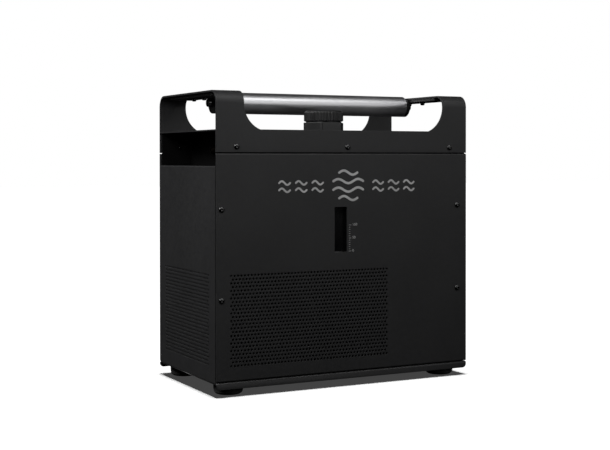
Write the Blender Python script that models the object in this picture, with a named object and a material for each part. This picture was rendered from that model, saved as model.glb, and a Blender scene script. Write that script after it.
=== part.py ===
"""Portable fog machine: folded sheet-metal case on four rubber feet, carrying tube between two
straps, screw-on filler cap, level window, and the fog-making parts inside.

Metres, +Z up. Origin: on the floor, under the middle of the case. The front faces -Y, and the fog
leaves through the recess in the left end, towards -X. All sizes below are in mm."""

import math

import bmesh
import bpy
from mathutils import Matrix, Vector

for old in list(bpy.data.objects):
    bpy.data.objects.remove(old, do_unlink=True)

MM = 0.001

# ---------------------------------------------------------------- shared dimensions
WIDTH, DEPTH = 470.0, 252.0         # case, left to right and front to back
HALF_W, HALF_D = WIDTH / 2, DEPTH / 2
SHEET = 2.0                         # case panels
FRAME_SHEET = 3.0                   # handle frame
GAP = 0.3                           # between neighbouring pieces

BASE_TOP = 23.0                     # upper face of the base plate
PANEL_Z0, PANEL_Z1 = 24.2, 383.5    # front panel; the rear panel has the same top
END_Z0 = PANEL_Z0 + SHEET + GAP     # lower edge of the end panels' main outlines
END_TOP = 363.5                     # top of the left end panel, the sill of the outlet recess
DECK_TOP = 421.0
BELOW_DECK = DECK_TOP - SHEET - GAP
STRAP_TOP = 483.4
BELOW_STRAP = STRAP_TOP - FRAME_SHEET - GAP

INNER_Y = HALF_D - SHEET - GAP      # just inside the front and rear panels
FOLD_Y = HALF_D - 4.9               # the end panels' front corners, at -FOLD_Y
DECK_Y = HALF_D - FRAME_SHEET - GAP     # outer faces of the deck's flanges
DUCT_Y = DECK_Y - SHEET - GAP       # outer faces of the outlet duct's side walls
INNER_LEFT_X = -HALF_W + SHEET + GAP    # just inside the left end panel
RIGHT_X = 225.0                     # outer face of the right end panel, set back inside the case

SCREW_R, SCREW_HOLE = 2.3, 2.7      # radii of the case screws' shanks and of their holes
STRAP_HOLE = 2.5
PANEL_SCREW_X = (-226.0, 216.0)
PANEL_SCREW_Z = (295.0, 152.0)
PANEL_SCREWS = [(x, z) for x in PANEL_SCREW_X for z in PANEL_SCREW_Z]
SKIRT_SCREWS = [(x, 394.0) for x in (-200.0, 0.0, 200.0)]
STRAP_SCREWS = [(x, y) for x in (-212.0, 212.0) for y in (-22.0, 22.0)]

TUBE_R, TUBE_Z = 18.0, 468.3
CAP_X, CAP_Y = -12.0, -63.6
WINDOW = (-24.5, -1.5, 221.5, 295.5)    # level window: x0, x1, z0, z1
NOZZLE_Z = 390.0

# Controls and connectors on the right end; the rectangles are y0, y1, z0, z1.
DISPLAY_BODY = (-70.0, 0.0, 335.0, 365.0)
BUTTONS = [(y, 350.0) for y in (20.0, 38.0, 56.0, 74.0)]
SWITCH_Y = 70.0
INLET_BODY = (SWITCH_Y - 22.0, SWITCH_Y + 22.0, 63.0, 127.0)
SOCKET_Y, SOCKET_Z = (-72.0, -24.0), 96.0

# ---------------------------------------------------------------- materials
LOOKS = {   # colour, roughness, metallic
    "coat": ((0.020, 0.020, 0.021), 0.48, 0.0),
    "deck": ((0.018, 0.018, 0.019), 0.50, 0.0),
    "liner": ((0.010, 0.010, 0.010), 0.60, 0.0),
    "satin": ((0.62, 0.62, 0.64), 0.30, 1.0),
    "fitting": ((0.012, 0.012, 0.012), 0.45, 0.0),
    "screw": ((0.014, 0.014, 0.015), 0.32, 0.0),
    "rubber": ((0.012, 0.012, 0.012), 0.75, 0.0),
    "cap": ((0.013, 0.013, 0.013), 0.42, 0.0),
    "tank": ((0.70, 0.71, 0.69), 0.45, 0.0),
    "pane": ((0.03, 0.03, 0.03), 0.08, 0.0),
    "coil": ((0.05, 0.05, 0.06), 0.50, 0.0),
    "steel": ((0.60, 0.60, 0.60), 0.30, 1.0),
    "hose": ((0.30, 0.31, 0.32), 0.40, 0.0),
    "cast": ((0.50, 0.50, 0.51), 0.50, 1.0),
    "brass": ((0.70, 0.52, 0.22), 0.30, 1.0),
    "fan": ((0.02, 0.02, 0.02), 0.50, 0.0),
    "board": ((0.02, 0.16, 0.07), 0.50, 0.0),
    "display": ((0.01, 0.02, 0.03), 0.10, 0.0),
    "knob": ((0.06, 0.06, 0.065), 0.45, 0.0),
    "socket": ((0.03, 0.03, 0.03), 0.40, 0.0),
}


def material(name, look):
    colour, roughness, metallic = LOOKS[look]
    mat = bpy.data.materials.new(name)
    mat.use_nodes = True
    shader = mat.node_tree.nodes["Principled BSDF"]
    shader.inputs["Base Color"].default_value = (*colour, 1.0)
    shader.inputs["Roughness"].default_value = roughness
    shader.inputs["Metallic"].default_value = metallic
    mat.diffuse_color = (*colour, 1.0)
    return mat


# ---------------------------------------------------------------- outlines
def arc(centre_u, centre_v, radius, start, end, count):
    """Points along an arc, angles in degrees."""
    angles = [math.radians(start + (end - start) * i / count) for i in range(count + 1)]
    return [(centre_u + radius * math.cos(a), centre_v + radius * math.sin(a)) for a in angles]


def rounded(x0, x1, y0, y1, radius, count=2):
    return (arc(x1 - radius, y0 + radius, radius, -90, 0, count)
            + arc(x1 - radius, y1 - radius, radius, 0, 90, count)
            + arc(x0 + radius, y1 - radius, radius, 90, 180, count)
            + arc(x0 + radius, y0 + radius, radius, 180, 270, count))


def grown(rectangle, by):
    x0, x1, y0, y1 = rectangle
    return x0 - by, x1 + by, y0 - by, y1 + by


def around(x, y, half_x, half_y):
    return x - half_x, x + half_x, y - half_y, y + half_y


def bezier(start, start_pull, end_pull, end, count):
    a, b, c, d = (Vector(p) for p in (start, start_pull, end_pull, end))
    return [a * (1 - t) ** 3 + b * 3 * t * (1 - t) ** 2 + c * 3 * t * t * (1 - t) + d * t ** 3
            for t in (i / count for i in range(count + 1))]


# ---------------------------------------------------------------- shapes, as bmeshes in mm
def on_axis(axis, first, second, along):
    """A point from its place along an axis and its two other coordinates, in X, Y, Z order."""
    return {"X": (along, first, second),
            "Y": (first, along, second),
            "Z": (first, second, along)}[axis]


def box(x0, x1, y0, y1, z0, z1):
    shape = bmesh.new()
    bmesh.ops.create_cube(shape, size=1.0)
    bmesh.ops.scale(shape, verts=shape.verts, vec=(x1 - x0, y1 - y0, z1 - z0))
    middle = ((x0 + x1) / 2, (y0 + y1) / 2, (z0 + z1) / 2)
    bmesh.ops.translate(shape, verts=shape.verts, vec=middle)
    return shape


def prism(outline, axis, start, end):
    """A closed outline, extruded along one axis. Its two values are the other axes, in order."""
    shape = bmesh.new()
    low = [shape.verts.new(on_axis(axis, *point, start)) for point in outline]
    high = [shape.verts.new(on_axis(axis, *point, end)) for point in outline]
    shape.faces.new(low)
    shape.faces.new(high[::-1])
    for i in range(len(outline)):
        j = (i + 1) % len(outline)
        shape.faces.new((low[i], high[i], high[j], low[j]))
    return shape


TURNS = {
    "Z": Matrix.Identity(4),
    "X": Matrix.Rotation(math.pi / 2, 4, "Y"),
    "-X": Matrix.Rotation(-math.pi / 2, 4, "Y"),
    "Y": Matrix.Rotation(-math.pi / 2, 4, "X"),
    "-Y": Matrix.Rotation(math.pi / 2, 4, "X"),
}


def turned(profile, axis, centre, steps):
    """A profile of (radius, height) turned about an axis through centre. It starts and ends on
    the axis, or it is a closed loop, as of a ring."""
    shape = bmesh.new()
    rings = []
    for radius, height in profile:
        if radius == 0:
            rings.append([shape.verts.new((0, 0, height))])
            continue
        angles = [2 * math.pi * k / steps for k in range(steps)]
        rings.append([shape.verts.new((radius * math.cos(a), radius * math.sin(a), height))
                      for a in angles])
    pairs = list(zip(rings, rings[1:]))
    if profile[0][0] and profile[-1][0]:
        pairs.append((rings[-1], rings[0]))
    for one, two in pairs:
        for k in range(steps):
            m = (k + 1) % steps
            if len(one) == 1:
                shape.faces.new((one[0], two[k], two[m]))
            elif len(two) == 1:
                shape.faces.new((one[k], two[0], one[m]))
            else:
                shape.faces.new((one[k], two[k], two[m], one[m]))
    placing = Matrix.Translation(Vector(centre)) @ TURNS[axis]
    bmesh.ops.transform(shape, matrix=placing, verts=shape.verts)
    return shape


def rod(radius, axis, start, length, steps=12):
    return turned([(0, 0), (radius, 0), (radius, length), (0, length)], axis, start, steps)


def swept(points, radius, sides, end_direction=None):
    """A round hose along points. Its flat ends are square to end_direction, if given."""
    shape = bmesh.new()
    points = [Vector(p) for p in points]
    last = len(points) - 1
    rings = []
    side = None
    for i, point in enumerate(points):
        ahead = (points[min(i + 1, last)] - points[max(i - 1, 0)]).normalized()
        if end_direction and i in (0, last):
            ahead = Vector(end_direction)
        if side is None:
            side = ahead.orthogonal().normalized()
        side = (side - ahead * side.dot(ahead)).normalized()
        other = ahead.cross(side)
        angles = [2 * math.pi * k / sides for k in range(sides)]
        rings.append([shape.verts.new(point + side * (radius * math.cos(a))
                                      + other * (radius * math.sin(a))) for a in angles])
    for one, two in zip(rings, rings[1:]):
        for k in range(sides):
            m = (k + 1) % sides
            shape.faces.new((one[k], two[k], two[m], one[m]))
    shape.faces.new(rings[0][::-1])
    shape.faces.new(rings[-1])
    return shape


def together(*parts):
    """Several separate shapes in one bmesh."""
    out = bmesh.new()
    for part in parts:
        mesh = bpy.data.meshes.new("scrap")
        part.to_mesh(mesh)
        part.free()
        out.from_mesh(mesh)
        bpy.data.meshes.remove(mesh)
    return out


def holes(axis, places, radius, start, length, steps=10):
    """Equal rods along an axis, one at each place."""
    return together(*[rod(radius, axis, on_axis(axis, *place, start), length, steps)
                      for place in places])


def screw_holes(places, starts, length):
    """Case screw holes along Y, at each (x, z) and from each start."""
    return together(*[holes("Y", places, SCREW_HOLE, start, length) for start in starts])


# ---------------------------------------------------------------- objects and modifiers
def finish(name, shape, look=None, origin=(0, 0, 0), smooth=False):
    """An object from a shape in world mm, with its origin at the given point."""
    origin = Vector(origin)
    bmesh.ops.translate(shape, verts=shape.verts, vec=-origin)
    bmesh.ops.scale(shape, verts=shape.verts, vec=(MM, MM, MM))
    bmesh.ops.recalc_face_normals(shape, faces=shape.faces)
    mesh = bpy.data.meshes.new(name)
    shape.to_mesh(mesh)
    shape.free()
    obj = bpy.data.objects.new(name, mesh)
    obj.location = origin * MM
    bpy.context.scene.collection.objects.link(obj)
    if look:
        mesh.materials.append(material(name + "_finish", look))
    if smooth:
        mesh.shade_smooth()
        mesh.set_sharp_from_angle(angle=math.radians(35))
    return obj


def boolean(obj, shape, operation, tag):
    """A Boolean fed by a helper object that isn't rendered."""
    guide = finish(f"guide_{obj.name}_{tag}", shape)
    guide.hide_render = True
    guide.display_type = "WIRE"
    mod = obj.modifiers.new(tag, "BOOLEAN")
    mod.operation = operation
    mod.solver = "EXACT"
    mod.object = guide


def cut(obj, shape, tag):
    """Cutters reach a little past the faces they pass through."""
    boolean(obj, shape, "DIFFERENCE", tag)


def add(obj, shape, tag):
    boolean(obj, shape, "UNION", tag)


def soften(obj, width, angle=40):
    mod = obj.modifiers.new("soften", "BEVEL")
    mod.width = width * MM
    mod.segments = 1
    mod.limit_method = "ANGLE"
    mod.angle_limit = math.radians(angle)
    mod.use_clamp_overlap = True


# ---------------------------------------------------------------- case
END_LAP_Z = PANEL_Z0 + 4.0      # top of the strips added at the end panels' lower edges
LEFT_FLANGE_X, RIGHT_FLANGE_X = -214.0, 207.0   # free edges of the end panels' flanges


def front_panel():
    """One sheet, folded back at the top and the bottom."""
    front = -HALF_D
    panel = finish("front_panel", box(-HALF_W, HALF_W, front, front + SHEET + 1.0,
                                      PANEL_Z0, PANEL_Z1), "coat")
    soften(panel, 1.0)
    cut(panel, box(-HALF_W - 2, HALF_W + 2, front + SHEET, front + 9,
                   PANEL_Z0 + SHEET, PANEL_Z1 - SHEET), "hollow")
    cut(panel, prism(rounded(*WINDOW, 1.2), "Y", front - 2, front + 6), "window")
    cut(panel, screw_holes(PANEL_SCREWS, [front - 2], 8), "screws")


def rear_panel():
    """One flat sheet."""
    panel = finish("rear_panel", box(-HALF_W, HALF_W, HALF_D - SHEET, HALF_D,
                                     BASE_TOP + GAP, PANEL_Z1), "coat")
    cut(panel, screw_holes(PANEL_SCREWS, [HALF_D - 4], 8), "screws")


def end_screw_holes(x):
    """Screw holes through both flanges of an end panel."""
    return screw_holes([(x, z) for z in PANEL_SCREW_Z], [-INNER_Y - 1, INNER_Y - 3], 4)


def left_end_panel():
    """Inward flanges take the panel screws; the folded top is the outlet recess's sill."""
    flange_x, fold = LEFT_FLANGE_X, -FOLD_Y
    step_x = -HALF_W + 2.6      # the front flange is stepped in from the corner
    outline = [
        (-HALF_W, fold), (step_x, fold), (step_x, -INNER_Y),
        (flange_x, -INNER_Y), (flange_x, -INNER_Y + SHEET),
        (step_x + SHEET, -INNER_Y + SHEET), (step_x + SHEET, fold + SHEET),
        (-HALF_W + SHEET, fold + SHEET), (-HALF_W + SHEET, INNER_Y - SHEET),
        (flange_x, INNER_Y - SHEET), (flange_x, INNER_Y), (-HALF_W, INNER_Y),
    ]
    panel = finish("left_end_panel", prism(outline, "Z", END_Z0, END_TOP), "coat")
    add(panel, box(-HALF_W, -HALF_W + SHEET, fold, INNER_Y, 22.0, END_LAP_Z), "lower_edge")
    add(panel, box(-HALF_W + 1.0, -176.0, fold + SHEET, INNER_Y - 1.0,
                   END_TOP - SHEET, END_TOP), "sill")
    cut(panel, end_screw_holes(PANEL_SCREW_X[0]), "screws")


def right_end_panel():
    """Set back inside the case, with openings for the controls and connectors."""
    inner_x, flange_x = RIGHT_X - SHEET, RIGHT_FLANGE_X
    outline = [
        (inner_x, INNER_Y - SHEET), (flange_x, INNER_Y - SHEET),
        (flange_x, INNER_Y), (RIGHT_X, INNER_Y), (RIGHT_X, -INNER_Y), (flange_x, -INNER_Y),
        (flange_x, -INNER_Y + SHEET), (inner_x, -INNER_Y + SHEET),
    ]
    panel = finish("right_end_panel", prism(outline, "Z", END_Z0, PANEL_Z1 - SHEET - GAP), "coat")
    add(panel, together(
        box(inner_x, RIGHT_X, -FOLD_Y, FOLD_Y, 380.0, BELOW_DECK),
        box(inner_x, RIGHT_X, -FOLD_Y, INNER_Y, BASE_TOP + GAP, END_LAP_Z)), "edges")
    cut(panel, end_screw_holes(PANEL_SCREW_X[1]), "screws")
    start, end = RIGHT_X - 4, RIGHT_X + 2
    cut(panel, together(
        box(start, end, *grown(DISPLAY_BODY, GAP)),
        holes("X", BUTTONS, 5.0, start, 8, 16),
        box(start, end, *grown(INLET_BODY, GAP)),
        holes("X", [(y, SOCKET_Z) for y in SOCKET_Y], 12.4, start, 8, 20)), "openings")


def base_plate():
    """One sheet with its front and back edges folded down."""
    lip_z = 12.0        # lower edge of the folded lips
    bend = 3.0
    bend_y, bend_z = HALF_D - bend, BASE_TOP - bend
    outline = ([(-HALF_D, lip_z)]
               + arc(-bend_y, bend_z, bend, 180, 90, 3) + arc(bend_y, bend_z, bend, 90, 0, 3)
               + [(HALF_D, lip_z), (HALF_D - SHEET, lip_z)]
               + arc(bend_y, bend_z, bend - SHEET, 0, 90, 2)
               + arc(-bend_y, bend_z, bend - SHEET, 90, 180, 2)
               + [(-HALF_D + SHEET, lip_z)])
    base = finish("base_plate", prism(outline, "X", INNER_LEFT_X, HALF_W), "coat")
    add(base, together(*[box(-HALF_W, -HALF_W + 12, y, y + SHEET, lip_z, BASE_TOP - 2.8)
                         for y in (-HALF_D, HALF_D - SHEET)]), "lip_ends")
    add(base, box(-200, 222, HALF_D - 7, HALF_D - 5, BASE_TOP - 1, 34.0), "upstand")
    # Cutters that round the lips' lower corners.
    radius = 7
    centre_x, centre_z = HALF_W - radius, lip_z + radius
    corner = ([(HALF_W + 1, centre_z)] + arc(centre_x, centre_z, radius, 0, -90, 4)
              + [(centre_x, lip_z - 1), (HALF_W + 1, lip_z - 1)])
    for side, sign in (("left", -1), ("right", 1)):
        outline = [(sign * x, z) for x, z in corner]
        cut(base, prism(outline, "Y", -HALF_D - 2, HALF_D + 2), f"corner_{side}")


def handle_frame():
    """One sheet bent over the top, from the front skirt over the two straps to the rear skirt."""
    skirt_z = 385.0         # lower edge of the skirts
    bend = 19.5             # outer bend between skirts and straps
    bend_y, bend_z = HALF_D - bend, STRAP_TOP - bend
    inner_bend = bend - FRAME_SHEET
    outline = ([(-HALF_D, skirt_z)]
               + arc(-bend_y, bend_z, bend, 180, 90, 8) + arc(bend_y, bend_z, bend, 90, 0, 8)
               + [(HALF_D, skirt_z), (HALF_D - FRAME_SHEET, skirt_z)]
               + arc(bend_y, bend_z, inner_bend, 0, 90, 8)
               + arc(-bend_y, bend_z, inner_bend, 90, 180, 8)
               + [(-HALF_D + FRAME_SHEET, skirt_z)])
    frame = finish("handle_frame", prism(outline, "X", -HALF_W, HALF_W), "coat")

    # The cut-out has round ends; its lower edge crosses their arcs at an angle.
    cut_z = 421.5
    end_x, end_z, end_radius = 142.5, 462.8, 44.3
    half = end_x + end_radius
    low_angle = math.degrees(math.asin((end_z - cut_z) / end_radius))
    cut_out = (arc(end_x, end_z, end_radius, -low_angle, 0, 8)
               + [(half, STRAP_TOP + 5), (-half, STRAP_TOP + 5)]
               + arc(-end_x, end_z, end_radius, 180, 180 + low_angle, 8))
    cut(frame, prism(cut_out, "Y", -HALF_D - 5, HALF_D + 5), "cut_out")
    cut(frame, together(
        screw_holes(SKIRT_SCREWS, [-HALF_D - 2, HALF_D - 6], 8),
        holes("Z", STRAP_SCREWS, STRAP_HOLE, STRAP_TOP - 6, 9)), "screws")


def top_deck():
    """Closes the case under the cut-out. The folded flanges behind the skirts and the lip at the
    right end reach below the seam between the skirts and the panels."""
    flange_z = 378.0            # lower edge of the flange laps and the end lip
    fold_z = 388.0              # lower edge of the main outline's flanges
    inner_y, under = DECK_Y - SHEET, DECK_TOP - SHEET
    outline = [
        (-DECK_Y, fold_z), (-DECK_Y, DECK_TOP), (DECK_Y, DECK_TOP), (DECK_Y, fold_z),
        (inner_y, fold_z), (inner_y, under), (-inner_y, under), (-inner_y, fold_z),
    ]
    right_edge = HALF_W - 1.5
    deck = finish("top_deck", prism(outline, "X", -230.0, 222.0), "deck")
    add(deck, box(-HALF_W, right_edge, -DECK_Y, DECK_Y, under, DECK_TOP), "sheet")
    add(deck, together(*[box(-230, 206, y, y + SHEET, flange_z, fold_z + 1)
                         for y in (-DECK_Y, inner_y)]), "flange_laps")
    add(deck, box(right_edge - SHEET, right_edge, -DECK_Y, DECK_Y,
                  flange_z, DECK_TOP - 1), "end_lip")
    cut(deck, together(
        rod(25.6, "Z", (CAP_X, CAP_Y, DECK_TOP - 5), 10, 26),
        screw_holes(SKIRT_SCREWS, [-DECK_Y - 1, DECK_Y - 3], 4)), "holes")


def outlet_duct():
    """Lines the recess in the left end, with the nozzle's hole in its back wall."""
    wall = 1.5
    mouth_x, back_x = INNER_LEFT_X, -177.0
    outline = [
        (mouth_x, -DUCT_Y), (back_x, -DUCT_Y), (back_x, DUCT_Y), (mouth_x, DUCT_Y),
        (mouth_x, DUCT_Y - wall), (back_x - wall, DUCT_Y - wall),
        (back_x - wall, -DUCT_Y + wall), (mouth_x, -DUCT_Y + wall),
    ]
    duct = finish("outlet_duct", prism(outline, "Z", END_TOP + GAP, BELOW_DECK), "liner")
    cut(duct, together(
        rod(9.3, "X", (-182, 0, NOZZLE_Z), 10, 20),
        screw_holes(SKIRT_SCREWS[:1], [-DUCT_Y - 2, DUCT_Y - 4], 6)), "holes")


# ---------------------------------------------------------------- fasteners and feet
PLATE_LOW = BELOW_STRAP - 4.5       # underside of the plates under the straps


def button_screw(name, x, z, rear, length):
    """A domed screw in the front or rear of the case."""
    origin = (x, HALF_D + GAP if rear else -HALF_D - GAP, z)
    profile = [(0, 2.4), (3.2, 2.4), (4.6, 0.8), (4.6, 0), (SCREW_R, 0), (SCREW_R, -length),
               (0, -length)]
    finish(name, turned(profile, "Y" if rear else "-Y", origin, 12), "screw", origin, True)


def case_screws():
    for number, (x, z) in enumerate(PANEL_SCREWS, 1):
        button_screw(f"front_screw_{number}", x, z, False, 6.0)
        button_screw(f"rear_screw_{number}", x, z, True, 6.0)
    for number, (x, z) in enumerate(SKIRT_SCREWS, 1):
        length = 9.3 if number == 1 else 5.3    # the left ones go through the duct's walls too
        button_screw(f"skirt_screw_front_{number}", x, z, False, length)
        button_screw(f"skirt_screw_rear_{number}", x, z, True, length)


def strap_screws():
    """Screws through the straps, with their heads under the bracket plates."""
    top = STRAP_TOP - 0.6 - PLATE_LOW
    profile = [(0, -4.8), (2.2, -4.8), (3.5, -3.7), (4.0, -2.2), (4.0, -GAP), (2.1, -GAP),
               (2.1, top), (0, top)]
    for number, (x, y) in enumerate(STRAP_SCREWS, 1):
        origin = (x, y, PLATE_LOW)
        finish(f"strap_screw_{number}", turned(profile, "Z", origin, 12), "screw", origin, True)


def feet():
    radius, foot_x, front_y, rear_y = 24.0, 200.5, -92.8, 97.5
    top = BASE_TOP - SHEET - GAP
    profile = [(0, 0), (radius - 5.5, 0), (radius - 1.6, 2.0), (radius, 6.5),
               (radius, top - 0.6), (radius - 0.6, top), (0, top)]
    places = [(x, y, 0) for y in (front_y, rear_y) for x in (-foot_x, foot_x)]
    for number, place in enumerate(places, 1):
        finish(f"foot_{number}", turned(profile, "Z", place, 24), "rubber", place, True)


# ---------------------------------------------------------------- carrying handle
TUBE_BORE = TUBE_R - 2.5
TUBE_HALF = 182.0       # half of the tube's length
EAR_X = 188.6           # outer face of the ears that hold the tube
PLATE_X = 186.0         # inner edge of the plates under the straps


def handle_tube():
    profile = [(TUBE_BORE, -TUBE_HALF), (TUBE_R, -TUBE_HALF), (TUBE_R, TUBE_HALF),
               (TUBE_BORE, TUBE_HALF)]
    centre = (0, 0, TUBE_Z)
    finish("handle_tube", turned(profile, "X", centre, 32), "satin", centre, True)


def handle_bracket(side, sign, inward):
    """An ear at the tube's end, a plate under the strap and a spigot inside the tube."""
    ear = arc(0, TUBE_Z, TUBE_R, 180, 360, 15) + [(TUBE_R, BELOW_STRAP), (-TUBE_R, BELOW_STRAP)]
    ear_span = sorted((sign * (TUBE_HALF + GAP), sign * EAR_X))
    bracket = finish(f"handle_bracket_{side}", prism(ear, "X", *ear_span), "fitting")
    plate_span = sorted((sign * PLATE_X, sign * 228.0))
    add(bracket, box(*plate_span, -96, 96, PLATE_LOW, BELOW_STRAP), "plate")
    spigot_r = TUBE_BORE - GAP
    spigot = [(0, 0), (10.5, 0), (10.5, 5), (spigot_r, 5), (spigot_r, 26), (0, 26)]
    add(bracket, turned(spigot, inward, (sign * PLATE_X, 0, TUBE_Z), 20), "spigot")
    own_screws = [(x, y) for x, y in STRAP_SCREWS if x * sign > 0]
    cut(bracket, together(
        rod(4.3, inward, (sign * 192.0, 0, TUBE_Z), 24.0, 14),
        holes("Z", own_screws, STRAP_HOLE, PLATE_LOW - 3, 10)), "holes")


def handle_bolt(side, sign, outward):
    profile = [(0, 8.6), (5.9, 8.6), (7.0, 7.5), (7.0, 0), (4.0, 0), (4.0, -20), (0, -20)]
    seat = (sign * (EAR_X + GAP), 0, TUBE_Z)
    finish(f"handle_bolt_{side}", turned(profile, outward, seat, 16), "screw", seat, True)


def handle():
    handle_tube()
    for side, sign, inward, outward in (("left", -1, "X", "-X"), ("right", 1, "-X", "X")):
        handle_bracket(side, sign, inward)
        handle_bolt(side, sign, outward)


# ---------------------------------------------------------------- filler
CAP_R, CAP_Z0, CAP_Z1 = 33.2, 437.5, 455.5
THREAD_R = 27.0
NECK_TOP = 449.0
FILLER_AXIS = (CAP_X, CAP_Y, 0)     # foot of the filler's upright axis


def filler_neck():
    """A six-sided collar on the deck, with the pipe that runs down into the tank."""
    corner_r, rounding = 37.2, 5.0
    turn = 57.1             # direction of one of the collar's corners, degrees from +X
    inset = corner_r - rounding / math.cos(math.radians(30))
    collar = []
    for k in range(6):
        corner = turn + 60 * k
        collar += arc(CAP_X + inset * math.cos(math.radians(corner)),
                      CAP_Y + inset * math.sin(math.radians(corner)),
                      rounding, corner - 30, corner + 30, 4)
    neck = finish("filler_neck", prism(collar, "Z", DECK_TOP + GAP, 435.5), "cap",
                  (CAP_X, CAP_Y, DECK_TOP))
    soften(neck, 1.0, 60)
    pipe_low, pipe_r, shoulder_r = 331.0, 25.0, 29.8
    pipe = [(0, pipe_low), (pipe_r, pipe_low), (pipe_r, DECK_TOP + 4), (shoulder_r, DECK_TOP + 4),
            (shoulder_r, CAP_Z0 - GAP), (THREAD_R, CAP_Z0 - GAP), (THREAD_R, NECK_TOP),
            (0, NECK_TOP)]
    add(neck, turned(pipe, "Z", FILLER_AXIS, 28), "pipe")
    cut(neck, rod(22.0, "Z", (CAP_X, CAP_Y, 325.0), 130.0, 28), "bore")


def filler_cap():
    """A ribbed cap with a lower crown on top, open below for the neck."""
    ribs = 36
    root_r = CAP_R - 1.3
    rib = ((0.0, root_r), (0.25, CAP_R), (0.65, CAP_R), (0.9, root_r))  # part of pitch, radius
    outline = []
    for k in range(ribs):
        for part, radius in rib:
            angle = 2 * math.pi * (k + part) / ribs
            outline.append((CAP_X + radius * math.cos(angle), CAP_Y + radius * math.sin(angle)))
    cap = finish("filler_cap", prism(outline, "Z", CAP_Z0, CAP_Z1 - 2.0), "cap",
                 (CAP_X, CAP_Y, CAP_Z0))
    crown_r = CAP_R - 2.2
    crown = [(0, CAP_Z1 - 3.0), (crown_r, CAP_Z1 - 3.0), (crown_r, CAP_Z1 - 1.0),
             (CAP_R - 4.0, CAP_Z1), (0, CAP_Z1)]
    add(cap, turned(crown, "Z", FILLER_AXIS, 32), "crown")
    start = CAP_Z0 - 5
    cut(cap, rod(THREAD_R + 0.4, "Z", (CAP_X, CAP_Y, start), CAP_Z1 - 4.0 - start, 32), "thread")


def cap_seal():
    low, high = NECK_TOP + GAP, 451.2
    profile = [(22.5, low), (26.5, low), (26.5, high), (22.5, high)]
    finish("cap_seal", turned(profile, "Z", FILLER_AXIS, 24), "rubber", (CAP_X, CAP_Y, low), True)


# ---------------------------------------------------------------- fluid path
PUMP_X, PUMP_Y, PUMP_BORE = 90.0, 60.0, 8.0
PORT_REACH, PORT_Z = 34.0, 74.0     # pump ports: tips' distance from the pump's axis, and height
TANK_PORT_Z = 222.0
HEATER_PORT_Z = 380.0


def fluid_tank():
    plan = (-110.0, 190.0, -108.0, -8.0)    # x0, x1, y0, y1
    low, high, wall = 207.0, 325.0, 2.8
    tank = finish("fluid_tank", prism(rounded(*plan, 9, 3), "Z", low, high), "tank")
    add(tank, rod(29.5, "Z", (CAP_X, CAP_Y, 323.5), 16.5, 24), "boss")
    add(tank, rod(6.0, "Y", (PUMP_X, -12.0, TANK_PORT_Z), 14.0, 14), "spigot")
    inside = rounded(*grown(plan, -wall), 6.5)
    cut(tank, prism(inside, "Z", low + wall, high - wall), "hollow")
    cut(tank, rod(3.0, "Y", (PUMP_X, -16.0, TANK_PORT_Z), 20.0, 12), "outlet")
    cut(tank, rod(25.8, "Z", (CAP_X, CAP_Y, 315.0), 30.0, 24), "mouth")


def sight_window():
    """A dark pane set back in its own frame behind the slot."""
    x0, x1, z0, z1 = grown(WINDOW, 6)
    sight = finish("sight_window", box(x0, x1, -INNER_Y, -HALF_D + 16.1, z0, z1), "pane")
    x0, x1, z0, z1 = grown(WINDOW, 0.4)
    cut(sight, box(x0, x1, -INNER_Y - 2, -HALF_D + 8.8, z0, z1), "pocket")


def pump_body():
    plan = around(PUMP_X, PUMP_Y, 24, 24)
    pump = finish("pump_body", box(*plan, BASE_TOP + GAP, 92.0), "coil")
    soften(pump, 2.5)
    add(pump, rod(16.0, "Z", (PUMP_X, PUMP_Y, 90.0), 8.0, 20), "gland")
    add(pump, together(
        rod(5.0, "Y", (PUMP_X, PUMP_Y - PORT_REACH, PORT_Z), 14.0),
        rod(5.0, "-X", (PUMP_X - 20, PUMP_Y, PORT_Z), 14.0)), "ports")
    cut(pump, rod(PUMP_BORE, "Z", (PUMP_X, PUMP_Y, 40.0), 70.0, 20), "bore")


def pump_plunger():
    low, shoulder, top = 52.3, 100.0, 101.2
    profile = [(0, low), (PUMP_BORE - GAP, low), (PUMP_BORE - GAP, shoulder),
               (PUMP_BORE - 1.5, top), (0, top)]
    finish("pump_plunger", turned(profile, "Z", (PUMP_X, PUMP_Y, 0), 20), "steel",
           (PUMP_X, PUMP_Y, low), True)


def pump_spring():
    """A coil under the plunger."""
    turns, per_turn, radius = 4, 8, 5.8
    low, high = 41.1, 51.2      # ends of the wire's centre line
    steps = turns * per_turn
    coil = []
    for i in range(steps + 1):
        angle = 2 * math.pi * i / per_turn
        coil.append((PUMP_X + radius * math.cos(angle), PUMP_Y + radius * math.sin(angle),
                     low + (high - low) * i / steps))
    finish("pump_spring", swept(coil, 0.7, 4), "steel", (PUMP_X, PUMP_Y, 40.3), True)


def hoses():
    reach = PORT_REACH + GAP
    suction = bezier((PUMP_X, 2.3, TANK_PORT_Z), (PUMP_X, 36, TANK_PORT_Z),
                     (PUMP_X, -8, PORT_Z), (PUMP_X, PUMP_Y - reach, PORT_Z), 10)
    finish("suction_hose", swept(suction, 4.6, 8, (0, 1, 0)), "hose", smooth=True)
    feed = bezier((PUMP_X - reach, PUMP_Y, PORT_Z), (-14, PUMP_Y + 4, PORT_Z),
                  (60, 0, HEATER_PORT_Z), (-27.7, 0, HEATER_PORT_Z), 14)
    finish("feed_hose", swept(feed, 4.0, 8, (-1, 0, 0)), "hose", smooth=True)


HEATER_LEFT = -164.0


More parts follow.
